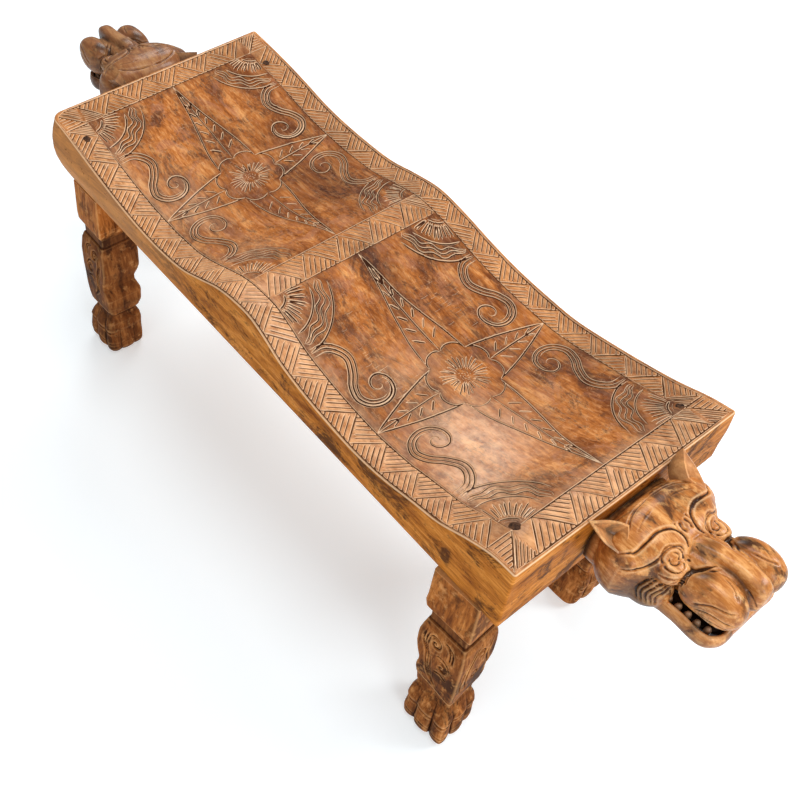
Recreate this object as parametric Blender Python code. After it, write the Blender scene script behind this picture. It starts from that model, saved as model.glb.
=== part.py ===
"""Carved bench: a twice-dished seat slab on four paw-footed legs, with a carved head on each end.

Metres, +Z up. X runs along the bench, Y across it. The origin is on the floor under the middle.
"""

import math

import bmesh
import bpy
from mathutils import Matrix, Vector

# Fits
GAP = 0.0003  # between two pieces that touch
HOLE_PLAY = 0.0003  # between a round piece and its hole, all round

# Seat slab
SLAB_LENGTH = 0.974
SLAB_WIDTH = 0.360
SLAB_THICKNESS = 0.111  # at the middle of its ends
WIND = 0.006  # the top is twisted, so its corners lie this much higher or lower
DIP_DEPTH = 0.062  # deepest place of the top, on its left edge, below the middle of the ends
# Height of the top along its two long edges, before the twist: share of the half length, share of
# the deepest dip
LEFT_EDGE = (
    (-1, -0.04), (-0.82, -0.38), (-0.60, -0.82), (-0.41, -0.94), (-0.27, -0.80), (-0.08, -0.21),
    (0.07, -0.12), (0.185, -0.58), (0.27, -0.79), (0.49, -1), (0.69, -0.71), (0.78, -0.53),
    (0.87, -0.17), (1, 0.065),
)
RIGHT_EDGE = (
    (-1, 0.09), (-0.72, -0.22), (-0.60, -0.43), (-0.41, -0.54), (-0.27, -0.515), (-0.053, -0.245),
    (0.16, -0.56), (0.27, -0.71), (0.49, -0.83), (0.72, -0.56), (0.93, -0.13), (1, -0.025),
)
END_ROUND_LENGTH = 0.024  # the lower end edges are rounded off
END_ROUND_HEIGHT = 0.016
CORNER_ROUND = 0.011  # upright corners
RIM_ROUND = 0.004  # edges round the top

# Legs
LEG_HEIGHT = 0.316
LEG_ALONG = 0.073  # section of the upper block, along the bench
LEG_ACROSS = 0.064
LEG_END_SETBACK = 0.026  # from the slab's end to the leg's outer face
LEG_SIDE_SETBACK = 0.001
LEFT_FOOT_LEAN = 0.036  # outwards, from the upper block to the foot
RIGHT_FOOT_LEAN = -0.046  # inwards: all four legs lean the same way
CORNER_CHAMFER = 0.0015  # the sole's edge and the edges of the cut ring
TOE_TIP_HEIGHT = 0.009
TOE_HEIGHT = 0.042
KNUCKLE_HEIGHT = 0.066
PAW_HEIGHT = 0.084
PAW_FLARE = 0.005  # the toes' faces beyond the upper block's
KNUCKLE_INSET = 0.001
TOE_GROOVE = 0.006
ANKLE_TOP = 0.106
ANKLE_INSET = 0.007  # how far the ankle is drawn in
HOCK_TOP = 0.126
HOCK_NOTCH = 0.010  # cut into the inner face above the ankle
CALF_HEIGHT = 0.160
SHANK_TOP = 0.224
RING_TOP = 0.244
RING_DEPTH = 0.006
BLOCK_CHAMFER = 0.006  # lower edge of the upper block

# Leg fastening
SCREW_DIAMETER = 0.008
SCREW_LENGTH = 0.115
SCREW_HEAD_ACROSS_FLATS = 0.013
SCREW_HEAD_HEIGHT = 0.0055
WASHER_DIAMETER = 0.018
WASHER_THICKNESS = 0.0016
PLUG_DIAMETER = 0.0195
PLUG_LENGTH = 0.014
PLUG_DEPTH = 0.0005  # its top below the lowest part of the seat round it
LEG_DOWEL_DIAMETER = 0.010
LEG_DOWEL_LENGTH = 0.040
LEG_DOWEL_OFFSET = 0.018  # from the screw, along the bench, towards the leg's middle
SCREW_PLACES = {  # set by eye: from the leg's middle, along the bench and across it
    "near_left": (0.0175, 0.012),
    "near_right": (0.0135, -0.007),
    "far_left": (0.0045, -0.011),
    "far_right": (0.0125, 0.003),
}

# Heads, measured forwards from the slab's end and down from the top of the skull
HEAD_RISE = 0.010  # top of the skull above the slab's ends
SKULL_CENTRE = 0.034
SKULL_LENGTH = 0.150
SKULL_WIDTH = 0.176
SKULL_HEIGHT = 0.108
NECK_LENGTH = 0.056
NECK_WIDTH = 0.156
NECK_HEIGHT = 0.084
NECK_DROP = 0.018
NECK_ROUND = 0.014
MUZZLE_START = 0.050
MUZZLE_END = 0.156
MUZZLE_WIDTH = 0.104
MUZZLE_HEIGHT = 0.058
MUZZLE_DROP = 0.012
LOBE_CENTRE = 0.127
LOBE_LENGTH = 0.076
LOBE_WIDTH = 0.056
LOBE_HEIGHT = 0.054
LOBE_DROP = 0.010
LOBE_SPACING = 0.060  # between the middles of the two lip lobes
MUZZLE_SWING = 0.010  # the muzzle bends this much to one side
NOSE_START = 0.060
NOSE_END = 0.163
NOSE_WIDTH = 0.030
NOSE_HEIGHT = 0.044
NOSE_DROP = 0.003
JAW_START = 0.020
JAW_END = 0.152
JAW_WIDTH = 0.106
JAW_THICKNESS = 0.040
JAW_DROP = 0.070  # down to the jaw's upper face
EAR_HEIGHT = 0.062
EAR_WIDTH = 0.058
EAR_RISE = 0.014  # ear tip above the slab's ends
EAR_SPACING = 0.140  # between the two tips
EAR_TIP = 0.012
EAR_FOOT = 0.030
EAR_FOOT_INSET = 0.007
HEAD_DOWEL_DIAMETER = 0.012
HEAD_DOWEL_LENGTH = 0.060
HEAD_DOWEL_SPACING = 0.090
HEAD_DOWEL_RISE = 0.060  # above the slab's underside

# Facets
PROFILE_STEPS = 40  # along the slab, between its rounded ends
END_STEPS = 5
RIM_STEPS = 2
TOP_STEPS = 6  # across the slab
LEG_SIDES = 32  # four to a toe
TOES = 8
ROUND_SIDES = 16
BALL_SEGMENTS = 20
BALL_RINGS = 12

# Places worked out from the sizes
HALF_LENGTH = SLAB_LENGTH / 2
HALF_WIDTH = SLAB_WIDTH / 2
SEAT_HEIGHT = LEG_HEIGHT + SLAB_THICKNESS
LEG_X = HALF_LENGTH - LEG_END_SETBACK - LEG_ALONG / 2
LEG_Y = HALF_WIDTH - LEG_SIDE_SETBACK - LEG_ACROSS / 2
HEAD_DOWEL_HEIGHT = LEG_HEIGHT + HEAD_DOWEL_RISE

CORNERS = {
    "near_left": (1, -1),
    "near_right": (1, 1),
    "far_left": (-1, -1),
    "far_right": (-1, 1),
}
ENDS = {"near": 1, "far": -1}


def clear_scene():
    for obj in list(bpy.data.objects):
        bpy.data.objects.remove(obj)


def finish(name, color, roughness, metallic=0.0):
    material = bpy.data.materials.new(name)
    material.use_nodes = True
    shader = material.node_tree.nodes["Principled BSDF"]
    shader.inputs["Base Color"].default_value = (*color, 1.0)
    shader.inputs["Roughness"].default_value = roughness
    shader.inputs["Metallic"].default_value = metallic
    return material


def add_object(name, bm, material, smooth_angle=None):
    """Turns a bmesh into a named object, shaded smooth up to the given angle."""
    bmesh.ops.recalc_face_normals(bm, faces=bm.faces)
    mesh = bpy.data.meshes.new(name)
    bm.to_mesh(mesh)
    bm.free()
    if smooth_angle:
        mesh.shade_smooth()
        mesh.set_sharp_from_angle(angle=math.radians(smooth_angle))
    if material:
        mesh.materials.append(material)
    obj = bpy.data.objects.new(name, mesh)
    bpy.context.scene.collection.objects.link(obj)
    return obj


def apply_modifiers(obj):
    """Replaces the object's mesh with the one its modifiers make."""
    bpy.context.view_layer.update()
    graph = bpy.context.evaluated_depsgraph_get()
    mesh = bpy.data.meshes.new_from_object(obj.evaluated_get(graph))
    obj.modifiers.clear()
    obj.data = mesh


def combine(target, tools, operation):
    """Joins the tools to the target, or cuts them from it, and removes the tools."""
    for tool in tools:
        modifier = target.modifiers.new(tool.name, "BOOLEAN")
        modifier.operation = operation
        modifier.solver = "EXACT"
        modifier.object = tool
    apply_modifiers(target)
    for tool in tools:
        bpy.data.objects.remove(tool)


def cylinder(name, radius, low, high, sides=ROUND_SIDES, material=None, smooth=True):
    """A round or many-sided bar between two points."""
    axis = Vector(high) - Vector(low)
    bm = bmesh.new()
    bmesh.ops.create_cone(
        bm, cap_ends=True, segments=sides, radius1=radius, radius2=radius, depth=axis.length
    )
    turn = axis.to_track_quat("Z", "Y").to_matrix().to_4x4()
    place = Matrix.Translation((Vector(low) + Vector(high)) / 2)
    bmesh.ops.transform(bm, matrix=place @ turn, verts=bm.verts)
    return add_object(name, bm, material, 40 if smooth else None)


def ball(name, centre, size, material=None):
    """An egg of the given full sizes."""
    bm = bmesh.new()
    bmesh.ops.create_uvsphere(bm, u_segments=BALL_SEGMENTS, v_segments=BALL_RINGS, radius=0.5)
    bmesh.ops.scale(bm, vec=size, verts=bm.verts)
    bmesh.ops.translate(bm, vec=centre, verts=bm.verts)
    return add_object(name, bm, material)


def block(name, low, high, round_off=0.0, material=None):
    """A box between two corners, with its edges rounded if asked."""
    low, high = Vector(low), Vector(high)
    bm = bmesh.new()
    bmesh.ops.create_cube(bm, size=1.0)
    bmesh.ops.scale(bm, vec=high - low, verts=bm.verts)
    bmesh.ops.translate(bm, vec=(low + high) / 2, verts=bm.verts)
    if round_off:
        bmesh.ops.bevel(
            bm, geom=bm.edges, offset=round_off, offset_type="OFFSET", segments=2,
            profile=0.5, affect="EDGES",
        )
    return add_object(name, bm, material)


def edge_slope(edge, i):
    """Slope of an edge's curve at one of its points."""
    before, after = edge[max(i - 1, 0)], edge[min(i + 1, len(edge) - 1)]
    return (after[1] - before[1]) / (after[0] - before[0])


def edge_height(edge, share):
    """Height of the smooth curve through an edge's points, as a share of the deepest dip."""
    i = 0
    while i < len(edge) - 2 and edge[i + 1][0] < share:
        i += 1
    span = edge[i + 1][0] - edge[i][0]
    t = (share - edge[i][0]) / span
    ease = t * t * (3 - 2 * t)
    bend = t * (1 - t) * ((1 - t) * edge_slope(edge, i) - t * edge_slope(edge, i + 1)) * span
    return edge[i][1] + (edge[i + 1][1] - edge[i][1]) * ease + bend


def seat_top(x, y):
    """Height of the seat's top surface over a point of its plan."""
    along, across = x / HALF_LENGTH, y / HALF_WIDTH
    left = edge_height(LEFT_EDGE, along)
    right = edge_height(RIGHT_EDGE, along)
    rise = DIP_DEPTH * (left + (right - left) * (1 + across) / 2)
    return SEAT_HEIGHT + rise - WIND * along * across


def round_off(x, length, height):
    """How far a rounded end edge has drawn in at a distance along the bench."""
    share = max(0.0, 1 - (HALF_LENGTH - abs(x)) / length)
    return height * (1 - math.sqrt(1 - share ** 2))


def slab_stations():
    """Distances along the bench at which the slab's section is drawn."""
    level = HALF_LENGTH - END_ROUND_LENGTH
    between = [-level + 2 * level * step / PROFILE_STEPS for step in range(PROFILE_STEPS + 1)]
    turns = [math.radians(90 * step / END_STEPS) for step in range(1, END_STEPS + 1)]
    end = [level + END_ROUND_LENGTH * math.sin(turn) for turn in turns]
    return [-x for x in reversed(end)] + between + end


def slab_section(x):
    """The slab's outline across the bench: up the left side, over the top and back underneath."""
    half = HALF_WIDTH - round_off(x, CORNER_ROUND, CORNER_ROUND)
    low = LEG_HEIGHT + round_off(x, END_ROUND_LENGTH, END_ROUND_HEIGHT)
    drop = round_off(x, RIM_ROUND, RIM_ROUND)
    flat = half - RIM_ROUND
    turns = [math.radians(90 * step / RIM_STEPS) for step in range(RIM_STEPS + 1)]
    top = [-flat + 2 * flat * step / TOP_STEPS for step in range(1, TOP_STEPS)]
    left_rim = [(-flat - RIM_ROUND * math.cos(turn), RIM_ROUND * (1 - math.sin(turn))) for turn in turns]
    over = left_rim + [(y, 0.0) for y in top] + [(-y, fall) for y, fall in reversed(left_rim)]
    ring = [(x, y, seat_top(x, y) - drop - fall) for y, fall in over]
    under = [half] + [-y for y in top] + [-half]
    return ring + [(x, y, low) for y in under]


def make_slab(wood):
    bm = bmesh.new()
    rings = [[bm.verts.new(point) for point in slab_section(x)] for x in slab_stations()]
    for ring, following in zip(rings, rings[1:]):
        for i in range(len(ring)):
            bm.faces.new((ring[i - 1], ring[i], following[i], following[i - 1]))
    bm.faces.new(rings[0])
    bm.faces.new(rings[-1])
    return add_object("seat_slab", bm, wood, 35)


def leg_section(height, grow, notch=0.0, toes=0.0):
    """One ring of a leg's outline, about the leg's upright axis, outer faces at plus."""
    squareness = 14
    ring = []
    for side in range(LEG_SIDES):
        turn = 2 * math.pi * side / LEG_SIDES
        c, s = math.cos(turn), math.sin(turn)
        reach = (abs(c) ** squareness + abs(s) ** squareness) ** (-1 / squareness)
        groove = toes * (1 - math.cos(TOES * turn)) / 2
        along = (LEG_ALONG / 2 + grow - groove) * reach * c
        if c < 0:
            along = along * (1 - notch / (LEG_ALONG / 2))
        across = (LEG_ACROSS / 2 + grow - groove) * reach * s
        ring.append((along, across, height))
    return ring


def leg_sections():
    """The leg from its sole to its top, as rings."""
    return [
        leg_section(0, PAW_FLARE - CORNER_CHAMFER, toes=TOE_GROOVE),
        leg_section(TOE_TIP_HEIGHT, PAW_FLARE, toes=TOE_GROOVE),
        leg_section(TOE_HEIGHT, PAW_FLARE, toes=TOE_GROOVE),
        leg_section(KNUCKLE_HEIGHT, -KNUCKLE_INSET, toes=TOE_GROOVE),
        leg_section(PAW_HEIGHT, -ANKLE_INSET),
        leg_section(ANKLE_TOP, -ANKLE_INSET),
        leg_section(HOCK_TOP, -KNUCKLE_INSET, notch=HOCK_NOTCH),
        leg_section(CALF_HEIGHT, 0),
        leg_section(SHANK_TOP - CORNER_CHAMFER, 0),
        leg_section(SHANK_TOP, -RING_DEPTH),
        leg_section(RING_TOP, -RING_DEPTH),
        leg_section(RING_TOP + BLOCK_CHAMFER, 0),
        leg_section(LEG_HEIGHT - GAP, 0),
    ]


def make_leg(name, corner, wood):
    along, across = corner
    lean = LEFT_FOOT_LEAN if across < 0 else RIGHT_FOOT_LEAN
    bm = bmesh.new()
    rings = []
    for section in leg_sections():
        ring = []
        for a, b, z in section:
            out = LEG_Y + b + lean * (1 - z / LEG_HEIGHT)
            ring.append(bm.verts.new((along * (LEG_X + a), across * out, z)))
        rings.append(ring)
    for low, high in zip(rings, rings[1:]):
        for i in range(LEG_SIDES):
            j = (i + 1) % LEG_SIDES
            bm.faces.new((low[i], low[j], high[j], high[i]))
    bm.faces.new(rings[0])
    bm.faces.new(rings[-1])
    return add_object(name, bm, wood, 30)


def place_leg_fastening(corner_name, corner, slab, leg, steel, filler, beech):
    """Screw, washer and plug down through the slab into the leg, and a dowel beside them."""
    along, across = SCREW_PLACES[corner_name]
    x, y = corner[0] * LEG_X + along, corner[1] * LEG_Y + across
    plug_reach = PLUG_DIAMETER / 2
    plug_top = min(seat_top(x - plug_reach, y), seat_top(x + plug_reach, y)) - PLUG_DEPTH
    plug_low = plug_top - PLUG_LENGTH
    head_low = plug_low - GAP - SCREW_HEAD_HEIGHT
    washer_low = head_low - GAP - WASHER_THICKNESS
    seat = washer_low - GAP
    shank_low = head_low - SCREW_LENGTH
    bore = SCREW_DIAMETER / 2 + HOLE_PLAY

    cylinder(
        f"plug_{corner_name}", plug_reach, (x, y, plug_low), (x, y, plug_top), 24, filler
    )
    washer = cylinder(
        f"washer_{corner_name}", WASHER_DIAMETER / 2, (x, y, washer_low),
        (x, y, washer_low + WASHER_THICKNESS), 24, steel,
    )
    combine(washer, [cylinder("eye", bore, (x, y, seat), (x, y, plug_low))], "DIFFERENCE")

    head_radius = SCREW_HEAD_ACROSS_FLATS / 2 / math.cos(math.pi / 6)
    screw = cylinder(
        f"lag_screw_{corner_name}", head_radius, (x, y, head_low),
        (x, y, head_low + SCREW_HEAD_HEIGHT), 6, steel, False,
    )
    middle = head_low + SCREW_HEAD_HEIGHT / 2
    shank = cylinder("shank", SCREW_DIAMETER / 2, (x, y, shank_low), (x, y, middle))
    combine(screw, [shank], "UNION")

    dowel_x = x - LEG_DOWEL_OFFSET * math.copysign(1, along)
    dowel_low = LEG_HEIGHT - LEG_DOWEL_LENGTH / 2
    dowel_high = LEG_HEIGHT + LEG_DOWEL_LENGTH / 2
    cylinder(
        f"leg_dowel_{corner_name}", LEG_DOWEL_DIAMETER / 2, (dowel_x, y, dowel_low),
        (dowel_x, y, dowel_high), material=beech,
    )

    above = SEAT_HEIGHT + WIND + PLUG_LENGTH
    dowel_bore = LEG_DOWEL_DIAMETER / 2 + HOLE_PLAY
    slab_holes = [
        cylinder("counterbore", plug_reach + HOLE_PLAY, (x, y, seat), (x, y, above), 24),
        cylinder("through_hole", bore, (x, y, LEG_HEIGHT - PLUG_LENGTH), (x, y, above)),
        cylinder("dowel_hole", dowel_bore, (dowel_x, y, LEG_HEIGHT - PLUG_LENGTH),
                 (dowel_x, y, dowel_high + GAP)),
    ]
    combine(slab, slab_holes, "DIFFERENCE")
    leg_holes = [
        cylinder("pilot_hole", bore, (x, y, shank_low - GAP), (x, y, above)),
        cylinder("dowel_hole", dowel_bore, (dowel_x, y, dowel_low - GAP), (dowel_x, y, above)),
    ]
    combine(leg, leg_holes, "DIFFERENCE")


def ear(name, side):
    """A pricked ear: a leaning cone with its tip beside the slab's upper edge."""
    tip = Vector((EAR_TIP, side * EAR_SPACING / 2, SEAT_HEIGHT + EAR_RISE))
    foot = Vector((EAR_FOOT, side * (EAR_SPACING / 2 - EAR_FOOT_INSET), tip.z - EAR_HEIGHT))
    bm = bmesh.new()
    ring = []
    sides = 10
    for step in range(sides):
        turn = 2 * math.pi * step / sides
        offset = Vector((math.cos(turn), math.sin(turn), 0)) * EAR_WIDTH / 2
        ring.append(bm.verts.new(foot + offset))
    point = bm.verts.new(tip)
    for i in range(sides):
        bm.faces.new((ring[i], ring[(i + 1) % sides], point))
    bm.faces.new(ring)
    return add_object(name, bm, None)


def egg_between(name, start, end, drop, width, height, side=0.0):
    """An egg along the muzzle from start to end, its top a given drop below the skull's."""
    top = SEAT_HEIGHT + HEAD_RISE
    centre = ((start + end) / 2, MUZZLE_SWING + side, top - drop - height / 2)
    return ball(name, centre, (end - start, width, height))


def make_head_shape(wood):
    """The head that faces +X, with its flat back on the plane x = 0."""
    top = SEAT_HEIGHT + HEAD_RISE
    head = ball(
        "head", (SKULL_CENTRE, 0, top - SKULL_HEIGHT / 2), (SKULL_LENGTH, SKULL_WIDTH, SKULL_HEIGHT)
    )
    head.data.materials.append(wood)
    neck = block(
        "neck", (-NECK_LENGTH / 2, -NECK_WIDTH / 2, top - NECK_DROP - NECK_HEIGHT),
        (NECK_LENGTH, NECK_WIDTH / 2, top - NECK_DROP), NECK_ROUND,
    )
    parts = [
        neck,
        egg_between("muzzle", MUZZLE_START, MUZZLE_END, MUZZLE_DROP, MUZZLE_WIDTH, MUZZLE_HEIGHT),
        egg_between("nose", NOSE_START, NOSE_END, NOSE_DROP, NOSE_WIDTH, NOSE_HEIGHT),
        egg_between("jaw", JAW_START, JAW_END, JAW_DROP, JAW_WIDTH, JAW_THICKNESS),
    ]
    lobe_start = LOBE_CENTRE - LOBE_LENGTH / 2
    lobe_end = LOBE_CENTRE + LOBE_LENGTH / 2
    for side in (1, -1):
        parts.append(ear("ear", side))
        parts.append(
            egg_between(
                "lobe", lobe_start, lobe_end, LOBE_DROP, LOBE_WIDTH, LOBE_HEIGHT,
                side * LOBE_SPACING / 2,
            )
        )
    combine(head, parts, "UNION")

    reach = SLAB_WIDTH
    behind = block("behind", (-reach, -reach, -reach), (0, reach, SEAT_HEIGHT + reach))
    combine(head, [behind], "DIFFERENCE")
    return head


def place_heads(slab, wood, beech):
    """A head on each end of the slab, carried on two dowels."""
    head = make_head_shape(wood)
    half_spacing = HEAD_DOWEL_SPACING / 2
    half_dowel = HEAD_DOWEL_LENGTH / 2
    bore = HEAD_DOWEL_DIAMETER / 2 + HOLE_PLAY
    holes = []
    for side in (1, -1):
        low = (-half_dowel, side * half_spacing, HEAD_DOWEL_HEIGHT)
        high = (half_dowel, side * half_spacing, HEAD_DOWEL_HEIGHT)
        holes.append(cylinder("dowel_hole", bore, low, high))
    combine(head, holes, "DIFFERENCE")
    head.data.set_sharp_from_angle(angle=math.radians(45))

    slab_holes = []
    for end_name, end in ENDS.items():
        placed = bpy.data.objects.new(f"head_{end_name}", head.data)
        bpy.context.scene.collection.objects.link(placed)
        placed.location = (end * (HALF_LENGTH + GAP), 0, 0)
        placed.rotation_euler = (0, 0, 0 if end > 0 else math.pi)
        for side_name, side in (("left", -1), ("right", 1)):
            y = side * half_spacing
            inner = (end * (HALF_LENGTH + GAP - half_dowel + GAP), y, HEAD_DOWEL_HEIGHT)
            outer = (end * (HALF_LENGTH + half_dowel - GAP), y, HEAD_DOWEL_HEIGHT)
            cylinder(
                f"head_dowel_{end_name}_{side_name}", HEAD_DOWEL_DIAMETER / 2, inner, outer,
                material=beech,
            )
            deep = (end * (HALF_LENGTH - half_dowel), y, HEAD_DOWEL_HEIGHT)
            slab_holes.append(cylinder("dowel_hole", bore, deep, outer))
    combine(slab, slab_holes, "DIFFERENCE")
    bpy.data.objects.remove(head)


def main():
    clear_scene()
    seat_wood = finish("seat_wood", (0.36, 0.15, 0.05), 0.35)
    leg_wood = finish("leg_wood", (0.33, 0.14, 0.045), 0.40)
    head_wood = finish("head_wood", (0.38, 0.17, 0.055), 0.35)
    filler = finish("dark_filler", (0.05, 0.035, 0.03), 0.60)
    beech = finish("dowel_wood", (0.55, 0.36, 0.19), 0.60)
    steel = finish("zinc_steel", (0.55, 0.55, 0.56), 0.35, 1.0)

    slab = make_slab(seat_wood)
    for corner_name, corner in CORNERS.items():
        leg = make_leg(f"leg_{corner_name}", corner, leg_wood)
        place_leg_fastening(corner_name, corner, slab, leg, steel, filler, beech)
    place_heads(slab, head_wood, beech)


main()
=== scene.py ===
import math

import bmesh
import bpy
import numpy as np
from mathutils import Euler, Matrix, Vector, geometry, noise
from mathutils.bvhtree import BVHTree
from mathutils.kdtree import KDTree


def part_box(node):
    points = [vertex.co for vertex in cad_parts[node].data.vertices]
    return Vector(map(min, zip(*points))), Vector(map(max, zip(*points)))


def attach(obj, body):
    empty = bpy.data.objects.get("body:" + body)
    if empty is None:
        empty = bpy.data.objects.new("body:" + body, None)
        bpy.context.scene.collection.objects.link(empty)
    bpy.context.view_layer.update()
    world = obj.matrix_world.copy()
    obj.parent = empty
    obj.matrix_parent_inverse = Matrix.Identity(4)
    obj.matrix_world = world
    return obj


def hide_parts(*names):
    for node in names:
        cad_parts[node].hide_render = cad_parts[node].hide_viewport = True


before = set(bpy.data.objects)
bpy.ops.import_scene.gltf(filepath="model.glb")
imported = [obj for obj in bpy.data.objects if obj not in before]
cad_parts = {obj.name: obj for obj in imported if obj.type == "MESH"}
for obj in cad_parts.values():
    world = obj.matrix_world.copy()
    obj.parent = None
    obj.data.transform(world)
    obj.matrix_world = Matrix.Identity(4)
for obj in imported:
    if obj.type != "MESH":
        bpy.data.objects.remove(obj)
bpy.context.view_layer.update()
SLAB_LOW, SLAB_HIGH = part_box("seat_slab")

# Camera, at the photograph's view
CAMERA_PLACE = (0.7210, -0.5727, 1.2205)
CAMERA_AZIMUTH = 46.556  # degrees about the upright axis, from looking along +Y
CAMERA_TILT = 50.419  # degrees below the horizon
CAMERA_ROLL = 4.796
CAMERA_LENS = 41.53  # millimetres on a 36 mm frame

# Seat slab, from the frame
HALF_LENGTH = SLAB_HIGH.x
HALF_WIDTH = SLAB_HIGH.y
UNDERSIDE = SLAB_LOW.z
RIM_ROUND = 0.0028
LOWER_ROUND = 0.0045
CORNER_ROUNDS = {(1, -1): 0.0032, (1, 1): 0.0035, (-1, -1): 0.017, (-1, 1): 0.005}
CORNER_POINTS = 6
EDGE_STEP = 0.008
WIND = 0.069  # twist of the top, in metres of height per square metre of plan
TOP_BUMPS = 0.0005
GRID_ALONG = 0.009  # spacing of the points on plain ground
GRID_ACROSS = 0.0085
GRID_MARGIN = 0.012
FULL_CUT = 0.0019  # a cut this deep is wholly dark
HALO_REACH = 0.0055

# Sides of the slab
SIDE_SHARES = (0.08, 0.15, 0.3, 0.45, 0.6, 0.75, 0.9, 1.0)  # levels, from the top down
SIDE_WAVE = 0.0014
END_LEAN = 0.0045  # the near end draws in towards the bottom
SIDE_LEAN = 0.35  # the long sides draw in by this share of it
FAR_LEFT_BELLY = 0.012  # the sides swell out round this corner
FAR_LEFT_REACH = 0.13
NEAR_RIGHT_BELLY = 0.013  # the slab swells to the right towards this corner
NEAR_RIGHT_REACH = 0.20
NEAR_RIGHT_START = 0.06  # across the bench, where the end begins to swell

# Height of the top along its left and right edges, before the twist
LEFT_EDGE = (
    (-0.487, 0.4245), (-0.45, 0.418), (-0.40, 0.4035), (-0.35, 0.3895), (-0.29, 0.376),
    (-0.20, 0.3685), (-0.13, 0.378), (-0.085, 0.3955), (-0.04, 0.4135), (0.0, 0.4205),
    (0.035, 0.4195), (0.06, 0.4085), (0.09, 0.391), (0.13, 0.3785), (0.18, 0.3697),
    (0.24, 0.3653), (0.29, 0.371), (0.335, 0.383), (0.38, 0.3945), (0.42, 0.415),
    (0.455, 0.429), (0.487, 0.431),
)
RIGHT_EDGE = (
    (-0.487, 0.4325), (-0.40, 0.422), (-0.35, 0.413), (-0.29, 0.4005), (-0.20, 0.3935),
    (-0.13, 0.3953), (-0.08, 0.405), (-0.026, 0.4118), (0.03, 0.4035), (0.08, 0.392),
    (0.13, 0.383), (0.20, 0.3768), (0.245, 0.3758), (0.30, 0.383), (0.35, 0.392),
    (0.41, 0.4055), (0.455, 0.4195), (0.487, 0.4255),
)

# Carved layout in plan
PANEL_HALF_LENGTH = 0.2145
PANEL_HALF_WIDTH = 0.142
END_LINE = 0.4445  # inner line of the end borders
OUTER_END_LINE = 0.4822
OUTER_SIDE_LINES = {-1: 0.1765, 1: 0.1745}
BAND_SKEW = -0.049  # the cross band leans across the seat
BAND_NEAR_EDGE = 0.0126
BAND_FAR_EDGE = -0.0319
ZIGZAG_PITCH = 0.057
HATCH_LINES = 7

random = np.random.default_rng(7)


# Helpers


def rise(value, start, reach):
    """A share that goes from nought at start to one at the end of reach, upwards or downwards."""
    return np.clip((value - start) / reach, 0, 1)


def bell(value, middle, reach):
    """A share that is one at the middle and fades away over reach."""
    return np.exp(-((value - middle) / reach) ** 2)


def table(points, x):
    """The value at x on straight lines between (place, value) points."""
    return np.interp(x, *np.array(points).T)


def way_at(turn):
    """A unit way in plan, at a turn in radians from the first axis."""
    return np.array([math.cos(turn), math.sin(turn)])


def square_ways(line):
    """Unit ways in plan that stand square to a line."""
    run = np.gradient(line, axis=0)
    ways = np.stack([-run[:, 1], run[:, 0]], 1)
    return ways / np.linalg.norm(ways, axis=1)[:, None]


def smooth_curve(points, x):
    """Height of a smooth curve through a few (place, height) points."""
    place, height = np.array(points).T
    slope = np.gradient(height, place)
    i = np.clip(np.searchsorted(place, x) - 1, 0, len(place) - 2)
    span = place[i + 1] - place[i]
    t = np.clip((x - place[i]) / span, 0, 1)
    ease = t * t * (3 - 2 * t)
    bend = t * (1 - t) * ((1 - t) * slope[i] - t * slope[i + 1]) * span
    return height[i] + (height[i + 1] - height[i]) * ease + bend


def smooth_path(points, step):
    """A smooth line through the points, with a new point at each step of its length."""
    points = np.array(points, dtype=float)
    length = np.concatenate([[0], np.cumsum(np.linalg.norm(np.diff(points, axis=0), axis=1))])
    fine = np.linspace(0, length[-1], max(8, int(length[-1] / step) * 4))
    curve = np.stack([smooth_curve(np.stack([length, axis], 1), fine) for axis in points.T], 1)
    run = np.concatenate([[0], np.cumsum(np.linalg.norm(np.diff(curve, axis=0), axis=1))])
    even = np.linspace(0, run[-1], max(3, int(run[-1] / step) + 1))
    return np.stack([np.interp(even, run, axis) for axis in curve.T], 1)


def seat_top(x, y):
    """Height of the uncarved seat over points of its plan."""
    share = (y + HALF_WIDTH) / (2 * HALF_WIDTH)
    left = smooth_curve(LEFT_EDGE, x)
    right = smooth_curve(RIGHT_EDGE, x)
    return left + (right - left) * share - WIND * x * y


def ring_quads(rings, around):
    """Faces between stacked rings of so many points each."""
    faces = []
    for low in range(0, (rings - 1) * around, around):
        high = low + around
        for i in range(around):
            j = (i + 1) % around
            faces.append((low + i, low + j, high + j, high + i))
    return faces


def dome_faces(rings, around):
    """Faces of stacked rings, with a flat base and one more point that closes the top."""
    last = (rings - 1) * around
    cap = [(last + i, last + (i + 1) % around, last + around) for i in range(around)]
    return [*ring_quads(rings, around), *cap, tuple(range(around))[::-1]]


def add_object(name, data):
    made = bpy.data.objects.new(name, data)
    bpy.context.scene.collection.objects.link(made)
    return made


def new_piece(name, vertices, faces, finish, sharp=25):
    """A piece made from its points and faces, shaded smooth up to an angle."""
    mesh = bpy.data.meshes.new(name)
    mesh.from_pydata([tuple(v) for v in vertices], [], [tuple(f) for f in faces])
    mesh.shade_smooth()
    mesh.set_sharp_from_angle(angle=math.radians(sharp))
    mesh.materials.append(finish)
    return add_object(name, mesh)


def point_values(piece, **values):
    """Stores numbers for each point of a piece, for its finish to read."""
    for name, numbers in values.items():
        layer = piece.data.attributes.new(name, "FLOAT", "POINT")
        layer.data.foreach_set("value", np.asarray(numbers, dtype=np.float32))


def mesh_values(mesh, name):
    """The place or the normal of every point of a mesh."""
    values = np.empty(len(mesh.vertices) * 3, dtype=np.float32)
    mesh.vertices.foreach_get(name, values)
    return values.reshape(-1, 3)


HOLLOW_ROUNDS = 12  # how widely a point's surroundings are averaged
HOLLOW_REACH = 0.0008


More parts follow.
